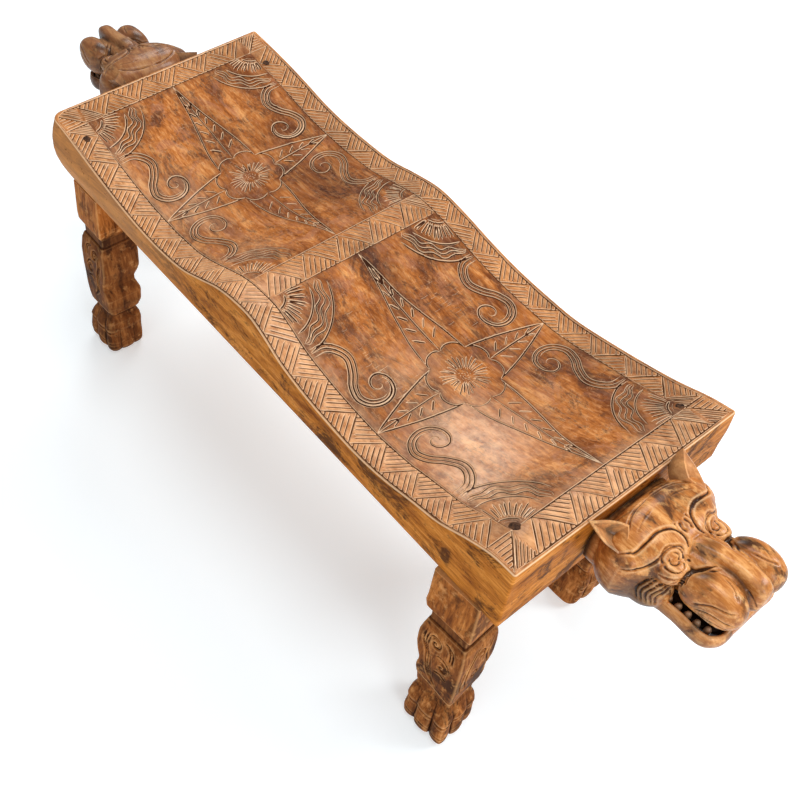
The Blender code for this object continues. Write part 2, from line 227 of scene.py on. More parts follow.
def hollowness(piece):
    """How far each point lies under its surroundings, as a share of a reach; below zero on ridges."""
    mesh = piece.data
    count = len(mesh.vertices)
    places = mesh_values(mesh, "co").astype(float)
    edges = np.empty(len(mesh.edges) * 2, dtype=np.int32)
    mesh.edges.foreach_get("vertices", edges)
    first, second = edges.reshape(-1, 2).T
    start, stop = np.concatenate([first, second]), np.concatenate([second, first])
    beside = np.maximum(1, np.bincount(start, minlength=count))
    soft = places.copy()
    for _ in range(HOLLOW_ROUNDS):
        for axis in range(3):
            total = np.bincount(start, weights=soft[stop, axis], minlength=count)
            soft[:, axis] = 0.5 * soft[:, axis] + 0.5 * total / beside
    return ((soft - places) * mesh_values(mesh, "normal")).sum(1) / HOLLOW_REACH


# Carving strokes in plan

STRAIGHT_STOPS = (0, 0.18, 0.82, 1)  # points of a straight cut, as shares of its length
SWELLING = 6  # how fast a cut widens from its ends
THINNEST = 0.05
WIDTH_SPREAD = (0.85, 1.15)  # cuts by hand differ this much
DEPTH_SPREAD = (0.8, 1.2)
WELL_ROUNDED = 0.01  # corners with a larger radius draw the cuts in
CORNER_MARGIN = 0.0045


class Carving:
    """V cuts in plan: each has its line, its half width along the line and its steepness."""

    def __init__(self):
        self.cuts = []

    def cut(self, points, width, depth, step=0.0035, start=0.25, end=0.25, bent=True):
        """Adds a cut along a line; start and end give its width there as shares."""
        if bent:
            line = smooth_path(points, step)
        else:
            first, last = np.array(points, dtype=float)[[0, -1]]
            line = np.stack([first + (last - first) * stop for stop in STRAIGHT_STOPS])
        share = np.linspace(0, 1, len(line))
        swell = np.minimum(start + SWELLING * share, np.minimum(1, end + SWELLING * (1 - share)))
        wide = width * random.uniform(*WIDTH_SPREAD)
        deep = depth * random.uniform(*DEPTH_SPREAD)
        self.cuts.append((line, np.clip(swell, THINNEST, 1) * wide / 2, deep / (wide / 2)))

    def keep_on_slab(self):
        """Draws in what would run past a well-rounded corner of the seat."""
        for corner, radius in CORNER_ROUNDS.items():
            if radius < WELL_ROUNDED:
                continue
            middle = corner_middle(corner)
            limit = radius - RIM_ROUND - CORNER_MARGIN
            for line, _, _ in self.cuts:
                away = line - middle
                gap = np.linalg.norm(away, axis=1)
                past = (away * corner > 0).all(1) & (gap > limit)
                line[past] = middle + away[past] * (limit / gap[past])[:, None]

    def depth_at(self, plan):
        """How deep the deepest cut is at each point of the plan."""
        depth = np.zeros(len(plan))
        order = np.argsort(plan[:, 0])
        sorted_x = plan[order, 0]
        for line, half, steep in self.cuts:
            margin = half.max()
            low, high = line.min(0) - margin, line.max(0) + margin
            pick = order[np.searchsorted(sorted_x, low[0]):np.searchsorted(sorted_x, high[0])]
            pick = pick[(plan[pick, 1] >= low[1]) & (plan[pick, 1] <= high[1])]
            if not len(pick):
                continue
            start, run = line[:-1], np.diff(line, axis=0)
            away = plan[pick][:, None, :] - start[None]
            share = np.clip((away * run).sum(2) / (run * run).sum(1), 0, 1)
            gap = np.linalg.norm(away - share[..., None] * run, axis=2)
            reach = half[:-1] + share * np.diff(half)
            depth[pick] = np.maximum(depth[pick], ((reach - gap) * steep).max(1))
        return np.maximum(depth, 0)

    def nearest(self, plan):
        """How far each point of the plan is from the nearest bent cut."""
        spots = np.concatenate([line for line, _, _ in self.cuts if len(line) > len(STRAIGHT_STOPS)])
        finder = KDTree(len(spots))
        for index, spot in enumerate(spots):
            finder.insert((*spot, 0), index)
        finder.balance()
        return np.array([finder.find((*point, 0))[2] for point in plan])

    def lines_and_edges(self):
        """Points and edges of every cut: its two rims and its bottom."""
        points, edges = [], []
        for line, half, _ in self.cuts:
            across = square_ways(line)
            for side in (1, 0, -1):
                first = len(points)
                points.extend(line + side * across * half[:, None])
                edges.extend((i, i + 1) for i in range(first, len(points) - 1))
        return points, edges


BOLD = dict(width=0.0046, depth=0.0025)
CLEAR = dict(width=0.0040, depth=0.0022)
STRAIGHT = dict(width=0.0034, depth=0.0020, step=0.008)
HATCH = dict(width=0.0036, depth=0.0022, start=0.9, end=0.2, bent=False)
HATCH_EDGE = dict(CLEAR, start=0.6, end=0.6, bent=False)
QUARTERS = [(1, 1), (1, -1), (-1, 1), (-1, -1)]
FINE_HALF = 0.84  # the half of a panel nearer the near head is cut this much finer
FINE_START = 0.02


class Panel:
    """One dished sitting place, with its own lengthwise u and crosswise v."""

    def __init__(self, carving, near):
        self.carving = carving
        self.near = near

    def plan(self, points):
        points = np.array(points, dtype=float)
        u, v = points[:, 0], points[:, 1]
        if self.near:
            low, high = BAND_NEAR_EDGE + BAND_SKEW * v, END_LINE
        else:
            low, high = -END_LINE, BAND_FAR_EDGE + BAND_SKEW * v
        x = low + (high - low) * (u / PANEL_HALF_LENGTH + 1) / 2
        return np.stack([x, v], 1)

    def cut(self, points, flip=(1, 1), **shape):
        """A cut in the panel; flip mirrors it."""
        line = np.array(points, dtype=float) * flip
        if line[:, 0].mean() > FINE_START:
            shape["width"] = shape["width"] * FINE_HALF
            shape["depth"] = shape["depth"] * FINE_HALF
        self.carving.cut(self.plan(line), **shape)


# Flower
PETALS = 8
PETAL_CUSP = (0.046, 0.042)  # lengthwise and crosswise
PETAL_REACH = 0.0515
PETAL_WIDTH = 0.93  # crosswise, as a share of lengthwise
PETAL_SWELL = ((0.2, 0.985), (0.5, 1.03), (0.8, 0.985))  # share of the petal's turn, and of its reach
STAMENS = 32
STAMEN_STARTS = (0.0095, 0.012)
STAMEN_ENDS = (0.024, 0.036)
STAMEN = dict(width=0.0034, depth=0.0017, start=0.4, end=0.15, bent=False)
DOTS = 14
DOT_TURN = 2.4  # radians from one dot to the next
DOT_SPACING = 0.0022
DOT_HALF = 0.0014
DOT = dict(width=0.002, depth=0.001, bent=False)


def carve_flower(panel):
    """A flower of eight petals, with stamens and a dotted middle."""
    for petal in range(PETALS):
        low = 2 * math.pi * petal / PETALS
        high = 2 * math.pi * (petal + 1) / PETALS
        points = [way_at(low) * PETAL_CUSP]
        for share, swell in PETAL_SWELL:
            reach = PETAL_REACH * swell
            points.append(way_at(low + (high - low) * share) * (reach, reach * PETAL_WIDTH))
        points.append(way_at(high) * PETAL_CUSP)
        panel.cut(points, step=0.0025, **CLEAR)
    for stamen in range(STAMENS):
        way = way_at(2 * math.pi * (stamen + random.uniform(-0.25, 0.25)) / STAMENS)
        inner = random.uniform(*STAMEN_STARTS)
        outer = random.uniform(*STAMEN_ENDS)
        panel.cut([way * inner, way * outer], **STAMEN)
    for dot in range(DOTS):
        middle = DOT_SPACING * math.sqrt(dot) * way_at(DOT_TURN * dot)
        half = way_at(DOT_TURN * dot + 1) * DOT_HALF
        panel.cut([middle - half, middle + half], **DOT)


# Rays behind the flower
LONG_RAY = ((0.033, 0.030), (0.075, 0.0255), (0.11, 0.018), (0.15, 0.009), (0.185, 0.0035), (0.2145, 0.0))
SHORT_RAY = ((0.033, 0.031), (0.0225, 0.075), (0.0115, 0.11), (0.0, 0.142))
VEIN_REACH = 0.013
LONG_VEINS = 6
LONG_VEIN_START = 0.066
LONG_VEIN_PITCH = 0.019
LONG_VEIN_MIDDLE = 0.008  # from its root
LONG_VEIN = dict(width=0.0050, depth=0.0020, start=0.1, end=0.4, bent=False)
SHORT_VEINS = 4
SHORT_VEIN_START = 0.056
SHORT_VEIN_PITCH = 0.017
SHORT_VEIN = dict(width=0.0044, depth=0.0018, start=0.1, end=0.4, bent=False)


def carve_rays(panel):
    """Four pointed rays with veins: two along the panel and two across it."""
    for side in (1, -1):
        for half in (1, -1):
            panel.cut(LONG_RAY, (side, half), **BOLD)
            panel.cut(SHORT_RAY, (half, side), **BOLD)
            for vein in range(LONG_VEINS):
                root = LONG_VEIN_START + LONG_VEIN_PITCH * vein
                wide = table(LONG_RAY, root + LONG_VEIN_MIDDLE)
                points = [(root, wide * 0.22), (root + VEIN_REACH, wide * 0.74)]
                panel.cut(points, (side, half), **LONG_VEIN)
            for vein in range(SHORT_VEINS):
                root = SHORT_VEIN_START + SHORT_VEIN_PITCH * vein
                tip = root + VEIN_REACH
                wide = table([point[::-1] for point in SHORT_RAY], tip)
                panel.cut([(wide * 0.15, root), (wide * 0.7, tip)], (half, side), **SHORT_VEIN)
        panel.cut([(PETAL_CUSP[0], 0), (PANEL_HALF_LENGTH, 0)], (side, 1), **CLEAR)
        panel.cut([(0, PETAL_CUSP[1]), (0, PANEL_HALF_WIDTH)], (1, side), **CLEAR)


# Suns in the corners of a panel
FAN_HUB = 0.0195
FAN_INNER_HUB = 0.0145
FAN_EDGE = 0.050
FAN_RAYS = 11
FAN_ARC = 0.0545  # the ribbon's inner and outer arcs
FAN_CLOSING = 0.0800
FAN_WAVES = 3
WAVE_POINTS = 16
WAVE_COUNT = 3.2
WAVE_HEIGHT = 0.0030
FAN_RAY = dict(width=0.0044, depth=0.0021, start=0.3, end=0.3, bent=False)
FAN_FINE = dict(width=0.0022, depth=0.0008)


def carve_fans(panel):
    """A sun in each corner of the panel, held by a wavy ribbon."""
    corner = np.array([PANEL_HALF_LENGTH, PANEL_HALF_WIDTH])
    ribbon = FAN_CLOSING - FAN_ARC

    def spot(reach, degrees):
        return corner - reach * way_at(math.radians(degrees))

    def arc(reach):
        return [spot(reach, degrees) for degrees in range(2, 90, 11)]

    for quarter in QUARTERS:
        panel.cut(arc(FAN_HUB), quarter, **BOLD)
        panel.cut(arc(FAN_INNER_HUB), quarter, **FAN_FINE)
        for ray in range(FAN_RAYS):
            angle = 7 + 76 * ray / (FAN_RAYS - 1) + random.uniform(-1.5, 1.5)
            reach = FAN_EDGE * random.uniform(0.84, 1.0)
            panel.cut([spot(FAN_HUB + 0.002, angle), spot(reach, angle)], quarter, **FAN_RAY)
        panel.cut(arc(FAN_ARC), quarter, **BOLD)
        panel.cut(arc(FAN_CLOSING), quarter, **BOLD)
        for wave in range(FAN_WAVES):
            share = (wave + 1) / (FAN_WAVES + 1)
            line = []
            for step in range(WAVE_POINTS + 1):
                way = step / WAVE_POINTS
                swell = math.sin(math.pi * way) ** 0.4
                base = 0.5 * (FAN_ARC + FAN_CLOSING) + (share - 0.5) * ribbon * swell
                wobble = WAVE_HEIGHT * swell * math.sin(2 * math.pi * WAVE_COUNT * way + 0.5 * wave)
                line.append(spot(base + wobble, 3 + 84 * way))
            panel.cut(line, quarter, step=0.0022, **CLEAR)


# Scrolls beside the flower
SCROLL = (
    (0.1275, 0.141), (0.125, 0.120), (0.1065, 0.108), (0.089, 0.1145), (0.0715, 0.127), (0.0505, 0.132),
    (0.033, 0.1215), (0.027, 0.1005), (0.033, 0.0865), (0.047, 0.079), (0.061, 0.081), (0.068, 0.090),
    (0.0645, 0.1005), (0.0555, 0.1045), (0.0485, 0.1010), (0.0475, 0.0945), (0.0525, 0.0915),
    (0.0570, 0.0945),
)
STRAND_STOPS = (1.0, 0.80, 0.66)  # where each strand ends, as a share of the scroll
STRAND_GAP = 0.0056
STRAND_TAPER = 0.40


def carve_scrolls(panel):
    """Three strands that leave the border and curl up beside the flower."""
    spine = smooth_path(SCROLL, 0.002)
    share = np.linspace(0, 1, len(spine))
    across = square_ways(spine)
    for quarter in QUARTERS:
        for strand, stop in enumerate(STRAND_STOPS):
            shift = STRAND_GAP * strand * (1 - STRAND_TAPER * share)
            line = (spine + across * shift[:, None])[share <= stop][::3]
            panel.cut(line, quarter, step=0.0025, **BOLD)


ADZE_ROWS = 9
ADZE_MARKS = 8
ADZE_PITCH = 0.0080
ADZE_MISSED = 0.3
ADZE_DENT = dict(width=0.0026, depth=0.00056, start=0.2, end=0.2)


def carve_adze_marks(panel):
    """Rows of short shallow dents across the grain on the open ground."""
    for side in (1, -1):
        for _ in range(ADZE_ROWS):
            u = random.uniform(-0.165, 0.02)
            v = side * random.uniform(0.034, 0.105)
            for mark in range(ADZE_MARKS):
                at = u + ADZE_PITCH * (mark - ADZE_MARKS / 2) + random.uniform(-0.001, 0.001)
                if abs(at) > 0.18 or random.random() < ADZE_MISSED:
                    continue
                half = random.uniform(0.004, 0.010)
                bow = random.uniform(0.0005, 0.002)
                middle = v + random.uniform(-0.003, 0.003)
                line = [(at, middle - half), (at + bow, middle), (at, middle + half)]
                panel.cut(line, **ADZE_DENT)


SHORTEST_HATCH = 0.004


def hatch_triangle(carving, a, b, c):
    """An edge from a to c and lines beside it, ever shorter towards b."""
    carving.cut([a, c], **HATCH_EDGE)
    for line in range(1, HATCH_LINES):
        t = (line + random.uniform(-0.15, 0.15)) / HATCH_LINES
        start, stop = a + (b - a) * t, c + (b - c) * t
        start = start + (stop - start) * 0.06
        stop = stop - (stop - start) * 0.05
        if np.linalg.norm(stop - start) > SHORTEST_HATCH:
            carving.cut([start, stop], **HATCH)


def carve_zigzag(carving, inner, outer):
    """Hatched triangles between an inner and an outer line, each given by its two ends."""
    inner, outer = np.array(inner, dtype=float), np.array(outer, dtype=float)
    count = max(1, round(np.linalg.norm(outer[1] - outer[0]) / ZIGZAG_PITCH))

    def spot(line, step):
        return line[0] + (line[1] - line[0]) * np.clip(step / count, 0, 1)

    for step in range(count):
        hatch_triangle(carving, spot(outer, step), spot(outer, step + 1), spot(inner, step + 0.5))
        hatch_triangle(carving, spot(inner, step + 0.5), spot(inner, step + 1.5), spot(outer, step + 1))


def carve_borders(carving):
    """Zigzags along the four edges of the seat, the lines that hold them and the hatched corners."""
    side_in = PANEL_HALF_WIDTH
    for side in (1, -1):
        side_out = OUTER_SIDE_LINES[side]
        ends = np.array([1, -1]) * side
        inner = [(-e * END_LINE, side * side_in) for e in ends]
        outer = [(-e * END_LINE, side * side_out) for e in ends]
        carve_zigzag(carving, inner, outer)
        carving.cut([(-END_LINE, side * side_in), (END_LINE, side * side_in)], **STRAIGHT)
        reach = [(end * OUTER_END_LINE, side * side_out) for end in (-1, 1)]
        carving.cut(reach, step=0.008, **CLEAR)
    for end in (1, -1):
        ends = np.array([-1, 1]) * end
        inner = [(end * END_LINE, e * side_in) for e in ends]
        outer = [(end * OUTER_END_LINE, e * side_in) for e in ends]
        carve_zigzag(carving, inner, outer)
        carving.cut([(end * END_LINE, -side_in), (end * END_LINE, side_in)], **STRAIGHT)
        reach = [(end * OUTER_END_LINE, side * OUTER_SIDE_LINES[side]) for side in (-1, 1)]
        carving.cut(reach, step=0.008, **BOLD)
        for side in (1, -1):
            corner = np.array([end * END_LINE, side * side_in])
            out = np.array([end * OUTER_END_LINE, side * OUTER_SIDE_LINES[side]])
            on_end = np.array([end * OUTER_END_LINE, side * side_in])
            on_side = np.array([end * END_LINE, side * OUTER_SIDE_LINES[side]])
            hatch_triangle(carving, out, on_end, corner)
            hatch_triangle(carving, corner, out, on_side)


def carve_cross_band(carving):
    """The zigzag band between the two panels."""
    near, far = (
        [(edge + BAND_SKEW * y, y) for y in (-PANEL_HALF_WIDTH, PANEL_HALF_WIDTH)]
        for edge in (BAND_NEAR_EDGE, BAND_FAR_EDGE)
    )
    carve_zigzag(carving, far, near)
    for line in (near, far):
        carving.cut(line, **STRAIGHT)


def seat_carving():
    carving = Carving()
    carve_borders(carving)
    carve_cross_band(carving)
    for near in (True, False):
        panel = Panel(carving, near)
        carve_flower(panel)
        carve_rays(panel)
        carve_fans(panel)
        carve_scrolls(panel)
        if near:
            carve_adze_marks(panel)
    carving.keep_on_slab()
    return carving


# Seat slab


def corner_middle(corner):
    """Middle of a corner's rounding in plan."""
    radius = CORNER_ROUNDS[corner]
    return np.array([corner[0] * (HALF_LENGTH - radius), corner[1] * (HALF_WIDTH - radius)])


def slab_plan_loop(inset):
    """Corner-rounded outline of the slab's top in plan, as points and outward ways."""
    points, ways = [], []
    corners = [(1, -1), (1, 1), (-1, 1), (-1, -1)]
    for index, corner in enumerate(corners):
        for step in range(CORNER_POINTS + 1):
            way = way_at(math.radians(90 * (index - 1) + 90 * step / CORNER_POINTS))
            points.append(corner_middle(corner) + way * (CORNER_ROUNDS[corner] - inset))
            ways.append(way)
        following = corners[(index + 1) % 4]
        begin = points[-1]
        goal = corner_middle(following) + way * (CORNER_ROUNDS[following] - inset)
        count = int(np.linalg.norm(goal - begin) / EDGE_STEP)
        for step in range(1, count):
            points.append(begin + (goal - begin) * step / count)
            ways.append(way)
    return np.array(points), np.array(ways)


# Stained places of the seat, and places worn pale or painted with a sheen: middle along and across, reach
# along and across, and share
STAINED = (
    (-0.16, 0.075, 0.085, 0.050, 0.95), (-0.245, 0.010, 0.045, 0.030, 0.50),
    (-0.425, 0.115, 0.055, 0.042, 0.85), (-0.06, 0.135, 0.110, 0.030, 0.45),
    (0.05, 0.105, 0.040, 0.048, 0.70), (0.050, 0.012, 0.050, 0.026, 0.90),
    (0.31, 0.120, 0.055, 0.035, 0.50), (0.425, 0.125, 0.040, 0.050, 0.70),
    (0.205, 0.0, 0.035, 0.022, 0.40), (0.435, -0.135, 0.022, 0.024, 0.80),
    (0.065, -0.110, 0.040, 0.030, 0.50), (-0.430, -0.105, 0.040, 0.030, 0.65),
    (-0.20, 0.145, 0.160, 0.030, 0.50), (-0.36, 0.020, 0.050, 0.014, 0.45),
    (0.36, 0.160, 0.110, 0.020, 0.45), (0.30, 0.070, 0.080, 0.040, 0.25),
    (-0.27, 0.085, 0.080, 0.055, 0.60), (-0.25, 0.0, 0.070, 0.050, 0.35),
)
# Worn places, partly a painted sheen, above all the one in the near panel's dip
WORN_AND_SHEEN_PLACES = (
    (0.315, -0.065, 0.085, 0.060, 0.9), (0.10, -0.155, 0.330, 0.022, 0.8),
    (0.19, -0.060, 0.050, 0.050, 0.4), (-0.30, -0.150, 0.120, 0.022, 0.7),
    (0.0, -0.110, 0.020, 0.040, 0.5), (-0.10, -0.09, 0.040, 0.03, 0.4),
    (0.463, -0.02, 0.022, 0.150, 1.0), (-0.24, -0.100, 0.080, 0.030, 0.45),
    (0.37, -0.110, 0.075, 0.040, 0.95),
)


def spread_places(plan, places):
    """How strongly the listed places show at each point of the plan."""
    strength = np.zeros(len(plan))
    for x, y, along, across, share in places:
        gap = ((plan[:, 0] - x) / along) ** 2 + ((plan[:, 1] - y) / across) ** 2
        strength = np.maximum(strength, share * np.exp(-gap))
    return strength


def seat_plan(carving, loop):
    """The top in plan: its points, its triangles and which of its points make the rim."""
    points, edges = carving.lines_and_edges()
    first = len(points)
    points.extend(loop)
    edges.extend((first + i, first + (i + 1) % len(loop)) for i in range(len(loop)))
    far_x = HALF_LENGTH - GRID_MARGIN
    far_y = HALF_WIDTH - GRID_MARGIN
    for x in np.arange(-far_x, far_x + 0.001, GRID_ALONG):
        for y in np.arange(-far_y, far_y + 0.001, GRID_ACROSS):
            points.append((x, y))
    flat, _, triangles, origins, _, _ = geometry.delaunay_2d_cdt(
        [Vector(p) for p in points], edges, [], 0, 1e-5
    )
    of_loop = {}
    for index, sources in enumerate(origins):
        for source in sources:
            if first <= source < first + len(loop):
                of_loop[source - first] = index
    rim = [of_loop[i] for i in range(len(loop))]
    return np.array([p[:] for p in flat]), [tuple(t) for t in triangles], rim


def drawn_in(outline, ways, share, inset):
    """The outline lower down: it leans in, and the near right corner swells to the side."""
    along = 1 - END_LEAN * share / HALF_LENGTH * (outline[:, 0] > 0)
    across = np.full(len(outline), 1 - SIDE_LEAN * END_LEAN * share / HALF_WIDTH)
    swelling = bell(outline[:, 0], HALF_LENGTH, NEAR_RIGHT_REACH)
    swelling = swelling * rise(outline[:, 1], NEAR_RIGHT_START, HALF_WIDTH - NEAR_RIGHT_START)
    swelling = NEAR_RIGHT_BELLY * swelling * math.sin(math.pi / 2 * min(1.0, 1.5 * share))
    aside = np.stack([np.zeros(len(outline)), swelling], 1)
    return outline * np.stack([along, across], 1) + aside - ways * inset


def bellied(outline, share):
    """How far the side stands out: a little in waves, and more round the far left corner."""
    wave = np.array([noise.noise((p[0] * 11, p[1] * 11, share * 2)) for p in outline])
    far_gap = np.hypot(outline[:, 0] + HALF_LENGTH, outline[:, 1] + HALF_WIDTH)
    far_left = FAR_LEFT_BELLY * bell(far_gap, 0, FAR_LEFT_REACH)
    return ((SIDE_WAVE * wave + far_left) * math.sin(math.pi * share))[:, None]


def seat_values(carving, plan, depth, vertices, around):
    """Numbers for the finish at each point: nought on the sides, apart from top and far_end."""
    def on_top(numbers):
        return np.concatenate([numbers, np.zeros(len(vertices) - len(plan))])

    top = on_top(np.ones(len(plan)))
    top[len(plan):len(plan) + 3 * around] = np.repeat([0.75, 0.5, 0.25], around)
    band_middle = (BAND_NEAR_EDGE + BAND_FAR_EDGE) / 2 + BAND_SKEW * plan[:, 1]
    band_half = (BAND_NEAR_EDGE - BAND_FAR_EDGE) / 2
    in_border = (np.abs(plan[:, 0]) > END_LINE) | (np.abs(plan[:, 1]) > PANEL_HALF_WIDTH)
    in_border |= np.abs(plan[:, 0] - band_middle) < band_half
    return dict(
        top=top,
        cut=on_top(rise(depth, 0, FULL_CUT)),
        border=on_top(in_border),
        halo=on_top(np.exp(-carving.nearest(plan) / HALO_REACH) * ~in_border),
        stained=on_top(spread_places(plan, STAINED)),
        worn_and_sheen=on_top(spread_places(plan, WORN_AND_SHEEN_PLACES)),
        far_end=rise(np.array(vertices)[:, 0], -0.10, -0.20),
    )


def make_seat_slab(finish):
    """The carved plank: its top with every cut, a rounded rim, bellied sides and a flat underside."""
    carving = seat_carving()
    loop, ways = slab_plan_loop(RIM_ROUND)
    plan, faces, ring = seat_plan(carving, loop)
    depth = carving.depth_at(plan)
    bumps = np.array([noise.noise((p[0] * 28, p[1] * 28, 3.0)) for p in plan])
    height = seat_top(plan[:, 0], plan[:, 1]) + TOP_BUMPS * bumps - depth
    vertices = [(p[0], p[1], z) for p, z in zip(plan, height)]
    rim = seat_top(loop[:, 0], loop[:, 1])
    outline = loop + ways * RIM_ROUND
    around = len(loop)

    def add_ring(ring_plan, ring_height):
        nonlocal ring
        new = list(range(len(vertices), len(vertices) + around))
        vertices.extend((p[0], p[1], z) for p, z in zip(ring_plan, ring_height))
        for i in range(around):
            j = (i + 1) % around
            faces.append((ring[i], new[i], new[j], ring[j]))
        ring = new

    for degrees in (22, 45, 68, 90):
        turn = math.radians(degrees)
        add_ring(loop + ways * RIM_ROUND * math.sin(turn), rim - RIM_ROUND * (1 - math.cos(turn)))
    top_edge = rim - RIM_ROUND
    shoulder = UNDERSIDE + LOWER_ROUND
    for share in SIDE_SHARES:
        level = top_edge + (shoulder - top_edge) * share
        add_ring(drawn_in(outline, ways, share, -bellied(outline, share)), level)
    for degrees in (30, 60, 90):
        turn = math.radians(degrees)
        level = shoulder - LOWER_ROUND * math.sin(turn)
        inset = LOWER_ROUND * (1 - math.cos(turn)) - bellied(outline, 1.0)
        add_ring(drawn_in(outline, ways, 1.0, inset), np.full(around, level))
    faces.append(tuple(reversed(ring)))

    piece = new_piece("carved_seat", vertices, faces, finish)
    point_values(piece, **seat_values(carving, plan, depth, vertices, around))
    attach(piece, "root")
    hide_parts("seat_slab")


# Plugs

PLUG_POINTS = 28
PLUG_RINGS = (  # share of the reach, and rise over the seat; the first is the flat base
    (0.80, None), (1.0, -0.0012), (0.97, 0.0002), (0.75, 0.0007), (0.4, 0.0009),
)
PLUG_RISE = 0.0009
SMALL_PLUG = 0.8  # reach of three of the plugs, as a share of the fourth's
CORNERS = ("near_left", "near_right", "far_left", "far_right")


def make_plugs(finish):
    """Dark ragged filler over each screw, smeared over the seat's surface."""
    for corner in CORNERS:
        low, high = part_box("plug_" + corner)
        middle = (low + high) / 2
        reach = (high.x - low.x) / 2 * (1.0 if corner == "near_left" else SMALL_PLUG)
        vertices = []
        for share, lift in PLUG_RINGS:
            for step in range(PLUG_POINTS):
                along, across = way_at(2 * math.pi * step / PLUG_POINTS)
                ragged = 0.66 + 0.22 * noise.noise((along * 1.6, across * 1.6, low.x * 9))
                x = middle.x + reach * share * ragged * along
                y = middle.y + reach * share * ragged * across
                vertices.append((x, y, low.z if lift is None else float(seat_top(x, y)) + lift))
        vertices.append((middle.x, middle.y, float(seat_top(middle.x, middle.y)) + PLUG_RISE))
        faces = dome_faces(len(PLUG_RINGS), PLUG_POINTS)
        piece = new_piece("filler_plug_" + corner, vertices, faces, finish, 50)
        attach(piece, "root")
        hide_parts("plug_" + corner)


# Legs

LEG_TOP = UNDERSIDE - 0.0003
LEG_ALONG = 0.070  # section of the upper block
LEG_ACROSS = 0.064
LEG_RINGS = 264
LEG_SIDE_POINTS = 56
FOOT_SHIFT = {  # from the upper block to the foot, along the bench and across it
    "near_left": (0.0165, -0.040),
    "near_right": (-0.0155, -0.052),
    "far_left": (0.002, -0.036),
    "far_right": (0.0, -0.046),
}
LEG_YAW = {"near_left": 4.0, "near_right": 0.0, "far_left": 0.0, "far_right": 0.0}
BLOCK_CENTRE = {
    "near_left": (0.4200, -0.149),
    "near_right": (0.4235, 0.147),
    "far_left": (-0.4290, -0.147),
    "far_right": (-0.4245, 0.147),
}

# Outward set of a leg's faces from the upper block's faces, by height
OUTER_PROFILE = (
    (0.0, -0.0050), (0.003, -0.0016), (0.010, 0.0030), (0.022, 0.0042), (0.040, 0.0020), (0.052, 0.0022),
    (0.066, -0.0020), (0.080, -0.0072), (0.088, -0.0088), (0.106, -0.0080), (0.1085, -0.0025),
    (0.130, -0.0005), (0.160, 0.0012), (0.190, 0.0012), (0.212, -0.0010), (0.2215, -0.0040),
    (0.2230, -0.0062), (0.2370, -0.0062), (0.2480, 0.0), (0.260, 0.0008), (0.316, 0.0),
)
INNER_PROFILE = (
    (0.0, -0.0050), (0.003, -0.0016), (0.010, 0.0020), (0.022, 0.0025), (0.040, 0.0), (0.052, 0.0008),
    (0.064, -0.0015), (0.073, -0.0060), (0.079, -0.0072), (0.085, -0.0030), (0.100, 0.0012), (0.118, 0.0015),
    (0.126, -0.0015), (0.138, -0.0064), (0.147, -0.0068), (0.161, -0.0018), (0.174, 0.0012), (0.198, 0.0012),
    (0.212, -0.0020), (0.2215, -0.0045), (0.2230, -0.0062), (0.2370, -0.0062), (0.2480, 0.0), (0.258, 0.0022),
    (0.270, 0.0008), (0.316, 0.0),
)
TOE_GROOVES = ((0.0, 0.0078), (0.03, 0.0072), (0.05, 0.0050), (0.072, 0.0018), (0.088, 0.0004), (0.09, 0.0))
PAW_ROUNDNESS = ((0.0, 4.4), (0.05, 5.6), (0.088, 9.0), (0.11, 14.0), (0.125, 24.0), (0.316, 30.0))
MIDDLE_TOE = 0.42  # half of a face's middle toe, as a share of half the face
TOE_SHARES = (1.0, 1.0, 0.5, 0.05)  # how deep the toes are cut: outer end, outer side, inner end, inner side
FRONT_TOE = 0.05  # how much further the toe at the outer corner stands out
KNUCKLE_HEIGHT = 0.046
NAIL_HEIGHT = 0.017
PAW_TOP = 0.060
CUFF_HEIGHT = 0.100
CUFF_DIP = 0.009  # the cuff hangs lower at the outer corner
FAR_CUFF_DROP = 0.016  # and lower on the far legs
NEAR_CUFF_TUCK = -0.0058  # on the inner faces of the near legs
RING_CUT = (0.215, 0.249)  # heights of the ring under the upper block
LEG_LUMPS = 0.012


def spiral(middle, reach, turns, start, sense=1):
    """Points of a spiral drawn from its outside to its middle."""
    points = []
    for step in range(int(turns * 10) + 1):
        share = step / (turns * 10)
        turn = math.radians(start) + sense * 2 * math.pi * turns * share
        size = reach * (1 - 0.85 * share)
        points.append((middle[0] + size * math.cos(turn), middle[1] + size * math.sin(turn)))
    return points


LEG_LINE = dict(width=0.0040, depth=0.0022, step=0.002)
SIDE_SWIRLS = (  # middle, reach, turns and where it starts in degrees
    ((-0.008, 0.196), 0.0125, 0.95, 150), ((-0.008, 0.196), 0.0090, 0.95, 150),
    ((-0.008, 0.196), 0.0060, 1.3, 60), ((0.008, 0.164), 0.0110, 1.0, 120),
    ((0.008, 0.164), 0.0075, 1.0, 120), ((0.008, 0.164), 0.0045, 1.2, 60),
)
SIDE_LOCK = (
    (-0.024, 0.212), (-0.026, 0.190), (-0.019, 0.170), (-0.016, 0.150), (-0.010, 0.128), (0.0, 0.114),
)
END_LEAF = ((0.018, 0.122), (0.024, 0.150), (0.020, 0.180), (0.004, 0.210))
END_SWIRLS = (
    ((-0.004, 0.188), 0.0110, 0.9, 30), ((-0.004, 0.188), 0.0072, 0.9, 30), ((0.002, 0.152), 0.0080, 1.2, 60),
)
PAW_HAIRS = 22
PAW_HAIR = dict(width=0.0022, depth=0.0007, start=0.1, end=0.1, bent=False)


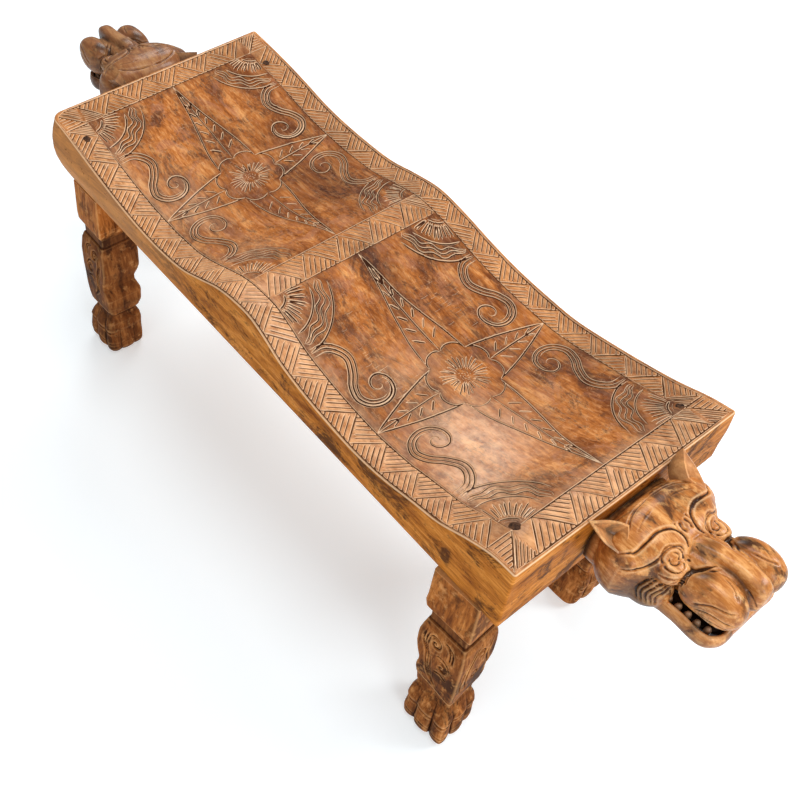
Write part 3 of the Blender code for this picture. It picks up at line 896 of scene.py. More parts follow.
def leg_side_carving():
    """Swirls and locks of hair on a leg's long-side face: outward along the bench, and height."""
    carving = Carving()
    for swirl in SIDE_SWIRLS:
        carving.cut(spiral(*swirl, -1), **LEG_LINE)
    for shift in (0.0, 0.0048, 0.0096):
        carving.cut([(a + shift * 0.8, z - shift * 0.6) for a, z in SIDE_LOCK], **LEG_LINE)
    for shift in (0.0, 0.0042):
        carving.cut([(0.021 - shift, 0.186), (0.017 - shift, 0.206), (0.006 - shift, 0.213)], **LEG_LINE)
    carving.cut([(-0.004, 0.178), (0.004, 0.182), (0.014, 0.178), (0.020, 0.168)], **LEG_LINE)
    carving.cut([(-0.002, 0.146), (0.008, 0.150), (0.018, 0.146)], **LEG_LINE)
    carve_paw_hair(carving)
    return carving


def leg_end_carving():
    """A leaf and swirls on a leg's end face."""
    carving = Carving()
    carving.cut(END_LEAF, **LEG_LINE)
    carving.cut([(a - 0.008, z + 0.004) for a, z in END_LEAF], **LEG_LINE)
    carving.cut([(-0.020, 0.118), (-0.022, 0.150), (-0.016, 0.182), (-0.024, 0.210)], **LEG_LINE)
    for swirl in END_SWIRLS:
        carving.cut(spiral(*swirl, 1), **LEG_LINE)
    carve_paw_hair(carving)
    return carving


def carve_paw_hair(carving):
    for _ in range(PAW_HAIRS):
        a = random.uniform(-0.028, 0.028)
        z = random.uniform(0.056, 0.078)
        tall = random.uniform(0.006, 0.014)
        points = [(a, z), (a * 0.92 + random.uniform(-0.002, 0.002), z + tall)]
        carving.cut(points, **PAW_HAIR)


def leg_ring_ways():
    """Where each point of a ring lies on the four faces: outer end, outer side, inner end, inner side."""
    share = -1 + 2 * (np.arange(LEG_SIDE_POINTS) + 0.5) / LEG_SIDE_POINTS
    face = np.repeat(np.arange(4), LEG_SIDE_POINTS)
    return face, np.tile(share, 4)


def make_leg(corner, finish):
    """A leg of stacked rings: a plain upper block, a cut ring, a carved shank, a cuff and a paw."""
    near = "near" in corner
    along, across = (1 if near else -1), (1 if "right" in corner else -1)
    face, share = leg_ring_ways()
    quarter = np.pi / 2 * face
    out_a = np.cos(quarter) - share * np.sin(quarter)
    out_b = np.sin(quarter) + share * np.cos(quarter)
    height = np.linspace(0, LEG_TOP, LEG_RINGS)[:, None]

    at_corner = np.clip((out_a + out_b) / 2, 0, 1) ** 2
    drop = 0.0 if near else FAR_CUFF_DROP
    outer = table(OUTER_PROFILE, height + (CUFF_DIP * at_corner + drop) * bell(height, CUFF_HEIGHT, 0.028))
    tuck = NEAR_CUFF_TUCK if near else 0.0
    inner = table(INNER_PROFILE, height) + tuck * bell(height, 0.112, 0.016)
    set_a = np.where(out_a > 0, outer, inner)
    set_b = np.where(out_b > 0, outer, np.minimum(inner, 0.0))

    on_middle = np.abs(share) < MIDDLE_TOE
    lobe = np.where(on_middle, np.abs(share) / MIDDLE_TOE, (1 - np.abs(share)) / (1 - MIDDLE_TOE))
    bulge = np.sqrt(np.clip(1 - lobe ** 2, 0, 1))
    groove = table(TOE_GROOVES, height) * (1 - bulge)
    knuckle = 0.0019 * np.clip(1 - np.abs(height - KNUCKLE_HEIGHT) / 0.0034, 0, 1)
    nail = 0.0012 * np.clip(1 - np.abs(height - NAIL_HEIGHT - 0.006 * bulge) / 0.0022, 0, 1)
    sunk = (groove + (knuckle + nail) * bulge * (height < PAW_TOP)) * np.array(TOE_SHARES)[face]

    power = table(PAW_ROUNDNESS, height)
    reach = (np.abs(out_a) ** power + np.abs(out_b) ** power) ** (-1 / power)
    front_toe = np.clip(out_a, 0, 1) ** 3 * np.clip(out_b, 0, 1) ** 3
    reach = reach * (1 + FRONT_TOE * front_toe * rise(height, 0.085, -0.05))
    a = (LEG_ALONG / 2 + set_a - sunk) * reach * out_a
    b = (LEG_ACROSS / 2 + set_b - sunk) * reach * out_b

    level = np.broadcast_to(height, a.shape)
    for which, carving, lengthwise, inward in ((1, leg_side_carving(), a, b), (0, leg_end_carving(), b, a)):
        pick = face == which
        plan = np.stack([lengthwise[:, pick].ravel(), level[:, pick].ravel()], 1)
        inward[:, pick] -= carving.depth_at(plan).reshape(LEG_RINGS, -1)

    lumps = [noise.noise((p, q, 5.0)) for p, q in zip((a * 45).ravel(), (b * 45 + level * 30).ravel())]
    swell = 1 + LEG_LUMPS * np.array(lumps).reshape(a.shape) * (1 - 0.6 * (level > 0.25))
    fall = 1 - level / LEG_TOP
    yaw = math.radians(LEG_YAW[corner])
    x = along * a * swell
    y = across * b * swell
    shift_x, shift_y = FOOT_SHIFT[corner]
    middle_x, middle_y = BLOCK_CENTRE[corner]
    place_x = middle_x + x * math.cos(yaw) - y * math.sin(yaw) + shift_x * fall
    place_y = middle_y + x * math.sin(yaw) + y * math.cos(yaw) + shift_y * fall
    vertices = np.stack([place_x, place_y, level], 2).reshape(-1, 3)

    around = 4 * LEG_SIDE_POINTS
    faces = ring_quads(LEG_RINGS, around)
    faces.append(tuple(range(around))[::-1])
    faces.append(tuple(range((LEG_RINGS - 1) * around, LEG_RINGS * around)))
    if along * across < 0:
        faces = [corners[::-1] for corners in faces]
    piece = new_piece("carved_leg_" + corner, vertices, faces, finish, 38)
    # Painted shade, with some scorch stain: in the cut ring, the toe grooves and under the cuff.
    in_ring = (level > RING_CUT[0]) & (level < RING_CUT[1])
    recess = rise(-np.minimum(set_a, set_b), 0, 0.0085) * in_ring
    recess = np.maximum(recess, rise(sunk, 0, 0.006) * 0.9)
    recess = np.maximum(recess, 0.55 * bell(level, CUFF_HEIGHT, 0.010))
    point_values(
        piece,
        upper=rise(level, 0.236, 0.016).ravel(),
        recess=recess.ravel(),
        hollow=hollowness(piece),
        aged=rise(level, 0.26, -0.02).ravel() * (not near),
    )
    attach(piece, "root")
    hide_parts("leg_" + corner)


# Heads, in metres forwards from the slab's end, across to the head's right and up from the floor

HEAD_GRAIN = 0.0012  # fineness of the carved surface
HEAD_BACK = 0.0006
MUZZLE_SWING = 0.0125  # the muzzle bends to one side
SWING_START = 0.075
SWING_END = 0.135
EYE = (0.081, 0.034, 0.424)
HEAD_MASSES = (  # centre, half size, boxiness and how far the front draws in
    ((0.049, 0.0, 0.3830), (0.0455, 0.079, 0.0540), 0.72, 0.42),  # skull
    ((0.010, 0, 0.372), (0.026, 0.063, 0.036), 0.6, 0),  # neck
    ((0.110, 0, 0.392), (0.046, 0.029, 0.034), 0.6, 0),  # muzzle
    ((0.120, 0, 0.4085), (0.046, 0.0120, 0.0265), 0.5, 0),  # nose
    ((0.078, 0, 0.3535), (0.0815, 0.0475, 0.0100), 0.5, 0),  # floor of the mouth
    ((0.045, 0, 0.354), (0.050, 0.053, 0.020), 0.75, 0),  # throat
)
PAIRED_MASSES = (  # the same, on both sides
    ((0.1310, 0.0325, 0.4015), (0.0345, 0.0205, 0.0265), 0.84, 0),  # lobe of the muzzle
    ((EYE[0], EYE[1], 0.4075), (0.0195, 0.0180, 0.0135), 0.9, 0),  # eye
    ((0.056, 0.044, 0.375), (0.042, 0.021, 0.031), 0.85, 0),  # cheek
    ((0.040, 0.053, 0.402), (0.026, 0.023, 0.024), 0.9, 0),  # temple
)
JAW_PATH = (
    (0.004, 0.058), (0.035, 0.055), (0.065, 0.0500), (0.090, 0.0475), (0.110, 0.0515), (0.135, 0.0570),
    (0.149, 0.0545), (0.1575, 0.0445), (0.1585, 0.022), (0.1585, 0.0),
)
LIP_HEIGHT = 0.3640
LIP_HALF = (0.0046, 0.0110)  # half its thickness and half its height
LIP_POINTS = 20


def add_egg(bm, centre, half, power, narrow):
    """A closed egg; a power below one makes it boxy, and narrow draws its front in."""
    made = bmesh.ops.create_uvsphere(bm, u_segments=48, v_segments=32, radius=1.0)["verts"]
    for vertex in made:
        x, y, z = (size * math.copysign(abs(part) ** power, part) for part, size in zip(vertex.co, half))
        squeeze = 1 - narrow * max(0.0, x / half[0])
        vertex.co = (centre[0] + x, centre[1] + y * squeeze, centre[2] + z)


def add_jaw_rim(bm):
    """The lower lip: a flat tube along the jaw's outline, round the front and back."""
    half_path = smooth_path(JAW_PATH, 0.004)
    path = np.concatenate([half_path, (half_path * (1, -1))[::-1][1:]])
    rings = []
    for spot, way in zip(path, square_ways(path)):
        ring = []
        for step in range(LIP_POINTS):
            out, up = way_at(2 * math.pi * step / LIP_POINTS) * LIP_HALF
            ring.append(bm.verts.new((*(spot + way * out), LIP_HEIGHT + up)))
        rings.append(ring)
    for first, second in zip(rings, rings[1:]):
        for i in range(LIP_POINTS):
            bm.faces.new((first[i - 1], first[i], second[i], second[i - 1]))
    bm.faces.new(rings[0])
    bm.faces.new(rings[-1])


def head_block():
    """The head's main masses, run together into one skin."""
    bm = bmesh.new()
    for mass in HEAD_MASSES:
        add_egg(bm, *mass)
    for side in (1, -1):
        for (forward, aside, up), *form in PAIRED_MASSES:
            add_egg(bm, (forward, side * aside, up), *form)
    add_jaw_rim(bm)
    bmesh.ops.recalc_face_normals(bm, faces=bm.faces)
    mesh = bpy.data.meshes.new("head_block")
    bm.to_mesh(mesh)
    bm.free()
    block = add_object("head_block", mesh)
    skin = block.modifiers.new("skin", "REMESH")
    skin.mode = "VOXEL"
    skin.voxel_size = HEAD_GRAIN
    ease = block.modifiers.new("ease", "SMOOTH")
    ease.factor = 0.5
    ease.iterations = 6
    bpy.ops.object.select_all(action="DESELECT")
    bpy.context.view_layer.objects.active = block
    block.select_set(True)
    for modifier in ("skin", "ease"):
        bpy.ops.object.modifier_apply(modifier=modifier)
    return block


# Cut lines on one side of the head; the other side mirrors them
BROW = ((0.040, 0.0665, 0.415), (0.049, 0.0572, 0.420), (0.0515, 0.0440, 0.428), (0.052, 0.028, 0.433),
        (0.0595, 0.0140, 0.436), (0.074, 0.0098, 0.436), (0.0885, 0.0150, 0.430))
LID = ((0.046, 0.0690, 0.405), (0.060, 0.0585, 0.410), (0.0665, 0.0450, 0.418), (0.0685, 0.0300, 0.426),
       (0.077, 0.0195, 0.429), (0.0895, 0.0210, 0.424))
HEAD_LINES = (
    (BROW, 0.0042, 0.0022),
    (LID, 0.0038, 0.0018),
    (((0.092, 0.050, 0.405), (0.097, 0.040, 0.412), (0.098, 0.030, 0.418)), 0.0030, 0.0012),
    (((0.098, 0.046, 0.388), (0.099, 0.036, 0.405), (0.104, 0.024, 0.418), (0.112, 0.014, 0.424)),
     0.0044, 0.0024),
    (((0.103, 0.046, 0.390), (0.104, 0.036, 0.408), (0.109, 0.025, 0.420), (0.118, 0.016, 0.424)),
     0.0030, 0.0012),
    (((0.118, 0.048, 0.398), (0.136, 0.044, 0.412), (0.154, 0.036, 0.412)), 0.0028, 0.0011),
    (((0.122, 0.051, 0.392), (0.140, 0.048, 0.403), (0.158, 0.038, 0.402)), 0.0028, 0.0012),
    (((0.128, 0.052, 0.386), (0.146, 0.049, 0.393), (0.161, 0.037, 0.393)), 0.0028, 0.0012),
    (((0.124, 0.022, 0.426), (0.138, 0.026, 0.426), (0.150, 0.034, 0.420)), 0.0026, 0.0009),
    (((0.010, 0.0, 0.4345), (0.013, 0.022, 0.4345), (0.022, 0.040, 0.434), (0.034, 0.050, 0.430)),
     0.0034, 0.0012),
    (((0.058, 0.0035, 0.437), (0.066, 0.006, 0.437), (0.071, 0.0040, 0.437)), 0.0044, 0.0015),
    (((0.055, 0.0085, 0.437), (0.064, 0.0105, 0.437)), 0.0030, 0.0010),
    (((0.030, 0.012, 0.438), (0.033, 0.030, 0.437), (0.040, 0.045, 0.432)), 0.0022, 0.0006),
    (((0.146, 0.0095, 0.420), (0.156, 0.0085, 0.412), (0.163, 0.006, 0.400)), 0.0026, 0.0010),
)
CHEEK_CRESCENTS = 5
LINE_WIDTH = 1.25  # every line of the face is this much bolder
LINE_DEPTH = 1.5
EYE_RING = 0.0148  # reach of the ring round the eye
EYE_WIDTH = 0.9  # across, as a share of its reach forwards
EYE_CRESCENTS = (0.0190, 0.0228)
CRESCENT_HEIGHT = 0.413
FOLD_START = 0.074
FOLD_PITCH = 0.0048


def eye_lines():
    """An almond ring round the eye, a swirl in it and two crescents under it."""
    ring = []
    for step in range(17):
        turn = 2 * math.pi * step / 16
        reach = EYE_RING * (1 + 0.12 * math.cos(2 * turn - 1.2))
        ring.append((EYE[0] + reach * math.cos(turn), EYE[1] + reach * EYE_WIDTH * math.sin(turn), EYE[2]))
    swirl = [(*point, EYE[2]) for point in spiral((EYE[0] - 0.0008, EYE[1]), 0.0096, 1.05, 200)]
    lines = [(ring, 0.0032, 0.0017), (swirl, 0.0024, 0.0011)]
    for reach in EYE_CRESCENTS:
        spots = [EYE[:2] + reach * way_at(math.radians(degrees)) for degrees in range(-50, 96, 24)]
        lines.append(([(*spot, CRESCENT_HEIGHT) for spot in spots], 0.0030, 0.0013))
    return lines


def cheek_lines():
    """Crescent folds at the corner of the mouth."""
    lines = []
    for fold in range(CHEEK_CRESCENTS):
        forward = FOLD_START + FOLD_PITCH * fold
        line = [(forward - 0.003, 0.042, 0.392), (forward - 0.006, 0.053, 0.383), (forward, 0.058, 0.368)]
        lines.append((line, 0.0034, 0.0018))
    return lines


def cut_head_lines(block):
    """The places of the head's points with every line sunk into its skin."""
    mesh = block.data
    tree = BVHTree.FromObject(block, bpy.context.evaluated_depsgraph_get())
    finder = KDTree(len(mesh.vertices))
    for vertex in mesh.vertices:
        finder.insert(vertex.co, vertex.index)
    finder.balance()
    depth = np.zeros(len(mesh.vertices))
    for points, wide, deep in (*HEAD_LINES, *eye_lines(), *cheek_lines()):
        for side in (1, -1):
            line = smooth_path(np.array(points) * (1, side, 1), 0.0007)
            for index, spot in enumerate(line):
                share = index / (len(line) - 1)
                swell = min(1.0, 0.25 + 5 * share, 0.25 + 5 * (1 - share))
                half = wide * LINE_WIDTH / 2 * swell
                on_skin = tree.find_nearest(Vector(spot))[0]
                for _, found, gap in finder.find_range(on_skin, half):
                    sink = deep * LINE_DEPTH * swell * (1 - gap / half) ** 0.8
                    depth[found] = max(depth[found], sink)
    return mesh_values(mesh, "co") - mesh_values(mesh, "normal") * depth[:, None]


EAR_BACK = ((0.70, -0.024, 0.6), (0.96, -0.008, 0.3), (1.0, 0.0, 0.0))  # share of the outline, rise, shade
EAR_FRONT = ((0.86, 0.0006, 0.0), (0.74, -0.0030, 0.08), (0.48, -0.0085, 0.30), (0.20, -0.0108, 0.70))
EAR_BOTTOM = (-0.0115, 0.9)
EAR_BOW = 0.0034
EAR_TIP_OUT = {1: 0.0700, -1: 0.0790}  # the ear on the head's left is the wider one


def ear_shell(side):
    """A pricked ear: a three-cornered leaf with a hollow front."""
    tip = np.array([0.0020, EAR_TIP_OUT[side], 0.4415])
    inner = np.array([0.0290, 0.0470, 0.4365])
    outer = np.array([0.0420, 0.0690, 0.4180])
    middle = (tip * 0.6 + inner + outer) / 2.6
    way = np.cross(inner - tip, outer - tip)
    way /= np.linalg.norm(way)
    way *= math.copysign(1, way[2])
    outline = []
    for first, second in ((tip, outer), (outer, inner), (inner, tip)):
        for step in range(10):
            share = step / 10
            point = first + (second - first) * share
            out = point - middle
            outline.append(point + out / np.linalg.norm(out) * EAR_BOW * math.sin(math.pi * share))
    outline = np.array(outline)
    hub = middle + (inner + outer - 2 * middle) * 0.18
    rings = [middle + (outline - middle) * share + way * lift for share, lift, _ in EAR_BACK]
    rings += [hub + (outline - hub) * share + way * lift for share, lift, _ in EAR_FRONT]
    vertices = np.concatenate([*rings, hub[None] + way * EAR_BOTTOM[0]]) * (1, side, 1)
    faces = dome_faces(len(rings), len(outline))
    if side < 0:
        faces = [corners[::-1] for corners in faces]
    shade = np.repeat([ring[2] for ring in EAR_BACK + EAR_FRONT], len(outline))
    return vertices, faces, np.append(shade, EAR_BOTTOM[1])


TEETH = ((0.096, 0.0405), (0.108, 0.0435), (0.120, 0.0460), (0.132, 0.0480), (0.1440, 0.0455))
TOOTH_PROFILE = ((0.0042, 0.356), (0.0043, 0.364), (0.0040, 0.3690), (0.0030, 0.3725), (0.0015, 0.3744))
TOOTH_TIP = 0.3750
TOOTH_POINTS = 14


def tooth_shell(spot, side):
    """A short rounded peg."""
    middle = np.array(spot) * (1, side)
    vertices = []
    for reach, height in TOOTH_PROFILE:
        for step in range(TOOTH_POINTS):
            vertices.append((*(middle + reach * way_at(2 * math.pi * step / TOOTH_POINTS)), height))
    vertices.append((*middle, TOOTH_TIP))
    return np.array(vertices), dome_faces(len(TOOTH_PROFILE), TOOTH_POINTS)


def swing(forward):
    """How far the muzzle has bent aside at a place along the head."""
    share = rise(forward, SWING_START, SWING_END - SWING_START)
    return MUZZLE_SWING * share * share * (3 - 2 * share)


def head_recess(places):
    """Painted shade, with some stain, as a share: in the mouth, behind the skull, behind the lobes, on the
    bridge and seams, on the cheeks and jaw, and low on the flanks.
    """
    f, y, z = places.T
    side = np.abs(y)
    mouth_edge = 0.0475 + 0.10 * np.clip(f - 0.100, 0, 0.04)
    mouth = rise(z, 0.3745, -0.006) * (z > 0.340) * rise(side, mouth_edge, -0.003)
    mouth *= rise(f, 0.084, 0.006) * rise(f, 0.157, -0.004)
    valley = 0.9 * rise(f, 0.010, -0.008) * rise(z, 0.4335, -0.012)
    lobe_back = 0.8 * bell(f, 0.112, 0.010) * bell(side, 0.031, 0.010) * (z > 0.405)
    bridge = 0.55 * bell(f, 0.094, 0.010) * bell(side, 0, 0.014)
    seam = 0.75 * bell(side, 0.0130, 0.0026) * rise(f, 0.112, 0.010) * (z > 0.398)
    cheek = 0.62 * bell(f, 0.066, 0.030) * bell(side, 0.058, 0.014) * (z < 0.404)
    jaw = 0.40 * rise(z, 0.3720, -0.012) * rise(f, 0.070, 0.02)
    flank = 0.42 * rise(side, 0.050, 0.020) * rise(z, 0.402, -0.022)
    return np.clip(mouth + valley + lobe_back + bridge + seam + cheek + jaw + flank, 0, 1)


FAR_SWING = 0.55  # how much of the muzzle's bend is taken back
FAR_JAW_SHORTER = 0.22
FAR_JAW_NARROWER = 0.16
FAR_EAR = (0.8, 0.8, 0.62)  # size of the ears, as shares


def far_head_places(places, ear_points):
    """The far head: its muzzle bends less, its ears are lower and its jaw stays under the lobes."""
    changed = places.copy()
    changed[:, 1] -= FAR_SWING * swing(places[:, 0])
    below = rise(places[:, 2], 0.380, -0.006) * rise(places[:, 0], 0.080, 0.030)
    changed[:, 0] -= FAR_JAW_SHORTER * below * np.maximum(places[:, 0] - 0.085, 0)
    changed[:, 1] -= FAR_JAW_NARROWER * below * (places[:, 1] - MUZZLE_SWING)
    for first, last in ear_points:
        foot = places[first:last].mean(0) - (0, 0, 0.012)
        changed[first:last] = foot + (places[first:last] - foot) * FAR_EAR
    return changed


# The ears count as ridges, so they are painted pale: partly worn wood, partly a painted highlight.
EAR_RIDGE = -0.45  # how far the ears count as ridges


def make_heads(finish):
    """Both heads: one skin with its ears and teeth, set on each end of the slab."""
    block = head_block()
    places = cut_head_lines(block)
    places[:, 0] = np.maximum(places[:, 0], HEAD_BACK)
    faces = [tuple(face.vertices) for face in block.data.polygons]
    bpy.data.objects.remove(block)
    skin_points = len(places)
    recess = head_recess(places)
    tooth = np.zeros(len(places))
    shell_hollow = np.zeros(0)

    def join(part, part_faces, shade, pale, hollow):
        nonlocal places, recess, tooth, shell_hollow
        first = len(places)
        faces.extend(tuple(first + i for i in face) for face in part_faces)
        places = np.concatenate([places, part])
        recess = np.concatenate([recess, shade])
        tooth = np.concatenate([tooth, np.full(len(part), pale)])
        shell_hollow = np.concatenate([shell_hollow, np.full(len(part), hollow)])

    ear_points = []
    for side in (1, -1):
        ear, ear_faces, shade = ear_shell(side)
        ear_points.append((len(places), len(places) + len(ear)))
        join(ear, ear_faces, shade, 0.0, EAR_RIDGE)
        for spot in TEETH:
            peg, peg_faces = tooth_shell(spot, side)
            join(peg, peg_faces, rise(peg[:, 2], 0.366, -0.012), 1.0, 0.0)

    places[:, 1] += swing(places[:, 0])
    for end_name, end in (("near", 1), ("far", -1)):
        if end < 0:
            places = far_head_places(places, ear_points)
        placed = np.stack([end * (HALF_LENGTH + places[:, 0]), end * places[:, 1], places[:, 2]], 1)
        piece = new_piece("carved_head_" + end_name, placed, faces, finish, 50)
        hollow = hollowness(piece)
        hollow[skin_points:] = shell_hollow
        aged = np.full(len(places), 0.0 if end > 0 else 1.0)
        point_values(piece, recess=recess, tooth=tooth, hollow=hollow, aged=aged)
        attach(piece, "root")
        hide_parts("head_" + end_name)


# Finishes


class Finish:
    """A material whose nodes are added and joined in order."""

    def __init__(self, name):
        self.material = bpy.data.materials.new(name)
        self.material.use_nodes = True
        self.tree = self.material.node_tree
        self.shader = self.tree.nodes["Principled BSDF"]

    def add(self, kind, settings=None, **inputs):
        """Adds a node; an input is set by its name, or by its number after an n."""
        made = self.tree.nodes.new(kind)
        for key, value in (settings or {}).items():
            setattr(made, key, value)
        for key, value in inputs.items():
            numbered = key[0] == "n" and key[1:].isdigit()
            self.set(made.inputs[int(key[1:]) if numbered else key], value)
        return made

    def set(self, socket, value):
        if isinstance(value, bpy.types.NodeSocket):
            self.tree.links.new(value, socket)
        else:
            socket.default_value = value

    def place(self, scale):
        where = self.add("ShaderNodeTexCoord").outputs["Object"]
        return self.add("ShaderNodeMapping", Vector=where, Scale=scale).outputs["Vector"]

    def noise(self, scale, detail=4.0, roughness=0.55, distortion=0.0):
        return self.add(
            "ShaderNodeTexNoise", Vector=self.place(scale), Scale=1.0, Detail=detail,
            Roughness=roughness, Distortion=distortion,
        ).outputs["Fac"]

    def ramp(self, value, *stops):
        made = self.add("ShaderNodeValToRGB", Fac=value)
        band = made.color_ramp
        while len(band.elements) < len(stops):
            band.elements.new(0.5)
        for element, (place, colour) in zip(band.elements, stops):
            element.position = place
            element.color = (*colour, 1.0)
        return made.outputs["Color"]

    def peak(self, value, low, middle, high):
        """White at the middle of a range and black at its ends."""
        return self.ramp(value, (low, (0, 0, 0)), (middle, (1, 1, 1)), (high, (0, 0, 0)))

    def mix(self, share, first, second):
        made = self.add("ShaderNodeMix", {"data_type": "RGBA"}, n0=share)
        for socket, value in ((made.inputs[6], first), (made.inputs[7], second)):
            self.set(socket, (*value, 1.0) if isinstance(value, tuple) else value)
        return made.outputs[2]

    def times(self, first, second):
        settings = {"operation": "MULTIPLY", "use_clamp": True}
        return self.add("ShaderNodeMath", settings, n0=first, n1=second).outputs[0]

    def spread(self, value, low, high, to_low, to_high):
        made = self.add("ShaderNodeMapRange", n0=value, n1=low, n2=high, n3=to_low, n4=to_high)
        return made.outputs[0]

    def stored(self, name):
        return self.add("ShaderNodeAttribute", {"attribute_name": name}).outputs["Fac"]

    def bump(self, height, strength, distance):
        made = self.add("ShaderNodeBump", Height=height, Strength=strength, Distance=distance)
        self.set(self.shader.inputs["Normal"], made.outputs["Normal"])

    def shade(self, **inputs):
        for key, value in inputs.items():
            self.set(self.shader.inputs[key.replace("_", " ")], value)


COAT_ROUGHNESS = 0.26
DRY_INDEX = 1.06  # the worn varnish of the seat and the legs hardly shines
SATIN_INDEX = 1.13


def wood_ground(wood, grain, browns):
    """Streaks of grain in three browns, dark to light, with fine lines in them."""
    broad = wood.noise(grain, 6, 0.65, 0.7)
    lines = wood.noise(tuple(5 * way for way in grain), 4, 0.6, 0.3)
    streaks = wood.mix(0.4, broad, lines)
    return wood.ramp(streaks, *zip((0.36, 0.50, 0.63), browns)), lines


def stain(wood, ground, patches, low, high, share, colour):
    """Lays a colour over the ground where a noise is high."""
    return wood.mix(wood.spread(patches, low, high, 0.0, share), ground, colour)


def shade_cuts(wood, ground, pale, dark, pale_share, dark_share):
    """Pale walls and a dark bottom in every cut: the walls partly lighter cut wood and partly a painted
    glint, the bottom partly stain and partly painted shade.
    """
    cut = wood.stored("cut")
    wall = wood.peak(cut, 0.22, 0.45, 0.75)
    ground = wood.mix(wood.times(wall, pale_share), ground, pale)
    return wood.mix(wood.times(wood.spread(cut, 0.48, 0.85, 0.0, 1.0), dark_share), ground, dark)


def shade_hollows(wood, ground, pale, dark, pale_share, dark_share):
    """Hollows go dark and ridges go pale: partly stain and wear, partly painted shade in the hollows and a
    painted highlight on the ridges.
    """
    hollow = wood.stored("hollow")
    ground = wood.mix(wood.spread(hollow, -0.15, -0.8, 0.0, pale_share), ground, pale)
    return wood.mix(wood.spread(hollow, 0.12, 0.9, 0.0, dark_share), ground, dark)


def varnish(wood, ground, rough, coat, index):
    """A thin varnish."""
    wood.shade(
        Base_Color=ground, Roughness=rough, IOR=index, Coat_Weight=coat, Coat_Roughness=COAT_ROUGHNESS,
    )


# Colours of the seat
SEAT_BROWNS = ((0.15, 0.038, 0.009), (0.46, 0.156, 0.038), (0.74, 0.350, 0.125))
CHATTER_BROWN = (0.25, 0.070, 0.018)
PATCH_STAIN = (0.075, 0.031, 0.020)
BLOOM = (0.42, 0.205, 0.135)
HALO_STAIN = (0.105, 0.038, 0.020)
BORDER_TANS = ((0.36, 0.135, 0.042), (0.74, 0.39, 0.175))
PORE_BROWN = (0.18, 0.050, 0.017)
PALE_FIBRES = (0.76, 0.40, 0.18)
NEAR_STAIN = (0.046, 0.021, 0.016)
FAR_STAIN = (0.085, 0.022, 0.006)
# Pale of worn wood, partly a painted sheen
WORN_AND_SHEEN_PALE = (0.82, 0.47, 0.25)
SIDE_BROWNS = ((0.20, 0.052, 0.007), (0.50, 0.170, 0.024), (0.72, 0.295, 0.060))
SIDE_SMUDGE = (0.070, 0.022, 0.006)
SIDE_FADED = (0.66, 0.35, 0.16)
SIDE_SPECKS = (0.080, 0.026, 0.008)
# Pale line on the rounded rim: partly a worn edge, partly a painted highlight.
RIM_WEAR_AND_HIGHLIGHT = (0.95, 0.66, 0.40)
SCRATCH = (0.78, 0.48, 0.28)
# Cut walls: partly pale cut wood, partly a painted glint. Cut bottoms: partly stain, partly painted shade.
CUT_WALL_PALE_AND_GLINT = (0.96, 0.70, 0.46)
CUT_BOTTOM_STAIN_AND_SHADE = (0.034, 0.012, 0.006)


def seat_side(wood, far_end):
    """Golden grain on the slab's sides, smudged dark and faded at the far end."""
    golden, streaks = wood_ground(wood, (9, 9, 55), SIDE_BROWNS)
    smudges = wood.mix(0.28, wood.noise((13, 13, 15), 8, 0.75, 1.4), streaks)
    smudged = wood.spread(smudges, 0.505, 0.575, 0.0, 0.90)
    smudged = wood.times(smudged, wood.spread(far_end, 0, 1, 1.0, 0.35))
    golden = wood.mix(smudged, golden, SIDE_SMUDGE)
    golden = wood.mix(wood.times(far_end, 0.40), golden, SIDE_FADED)
    specks = wood.noise((120, 120, 210), 3, 0.7)
    return stain(wood, golden, specks, 0.62, 0.70, 0.7, SIDE_SPECKS)


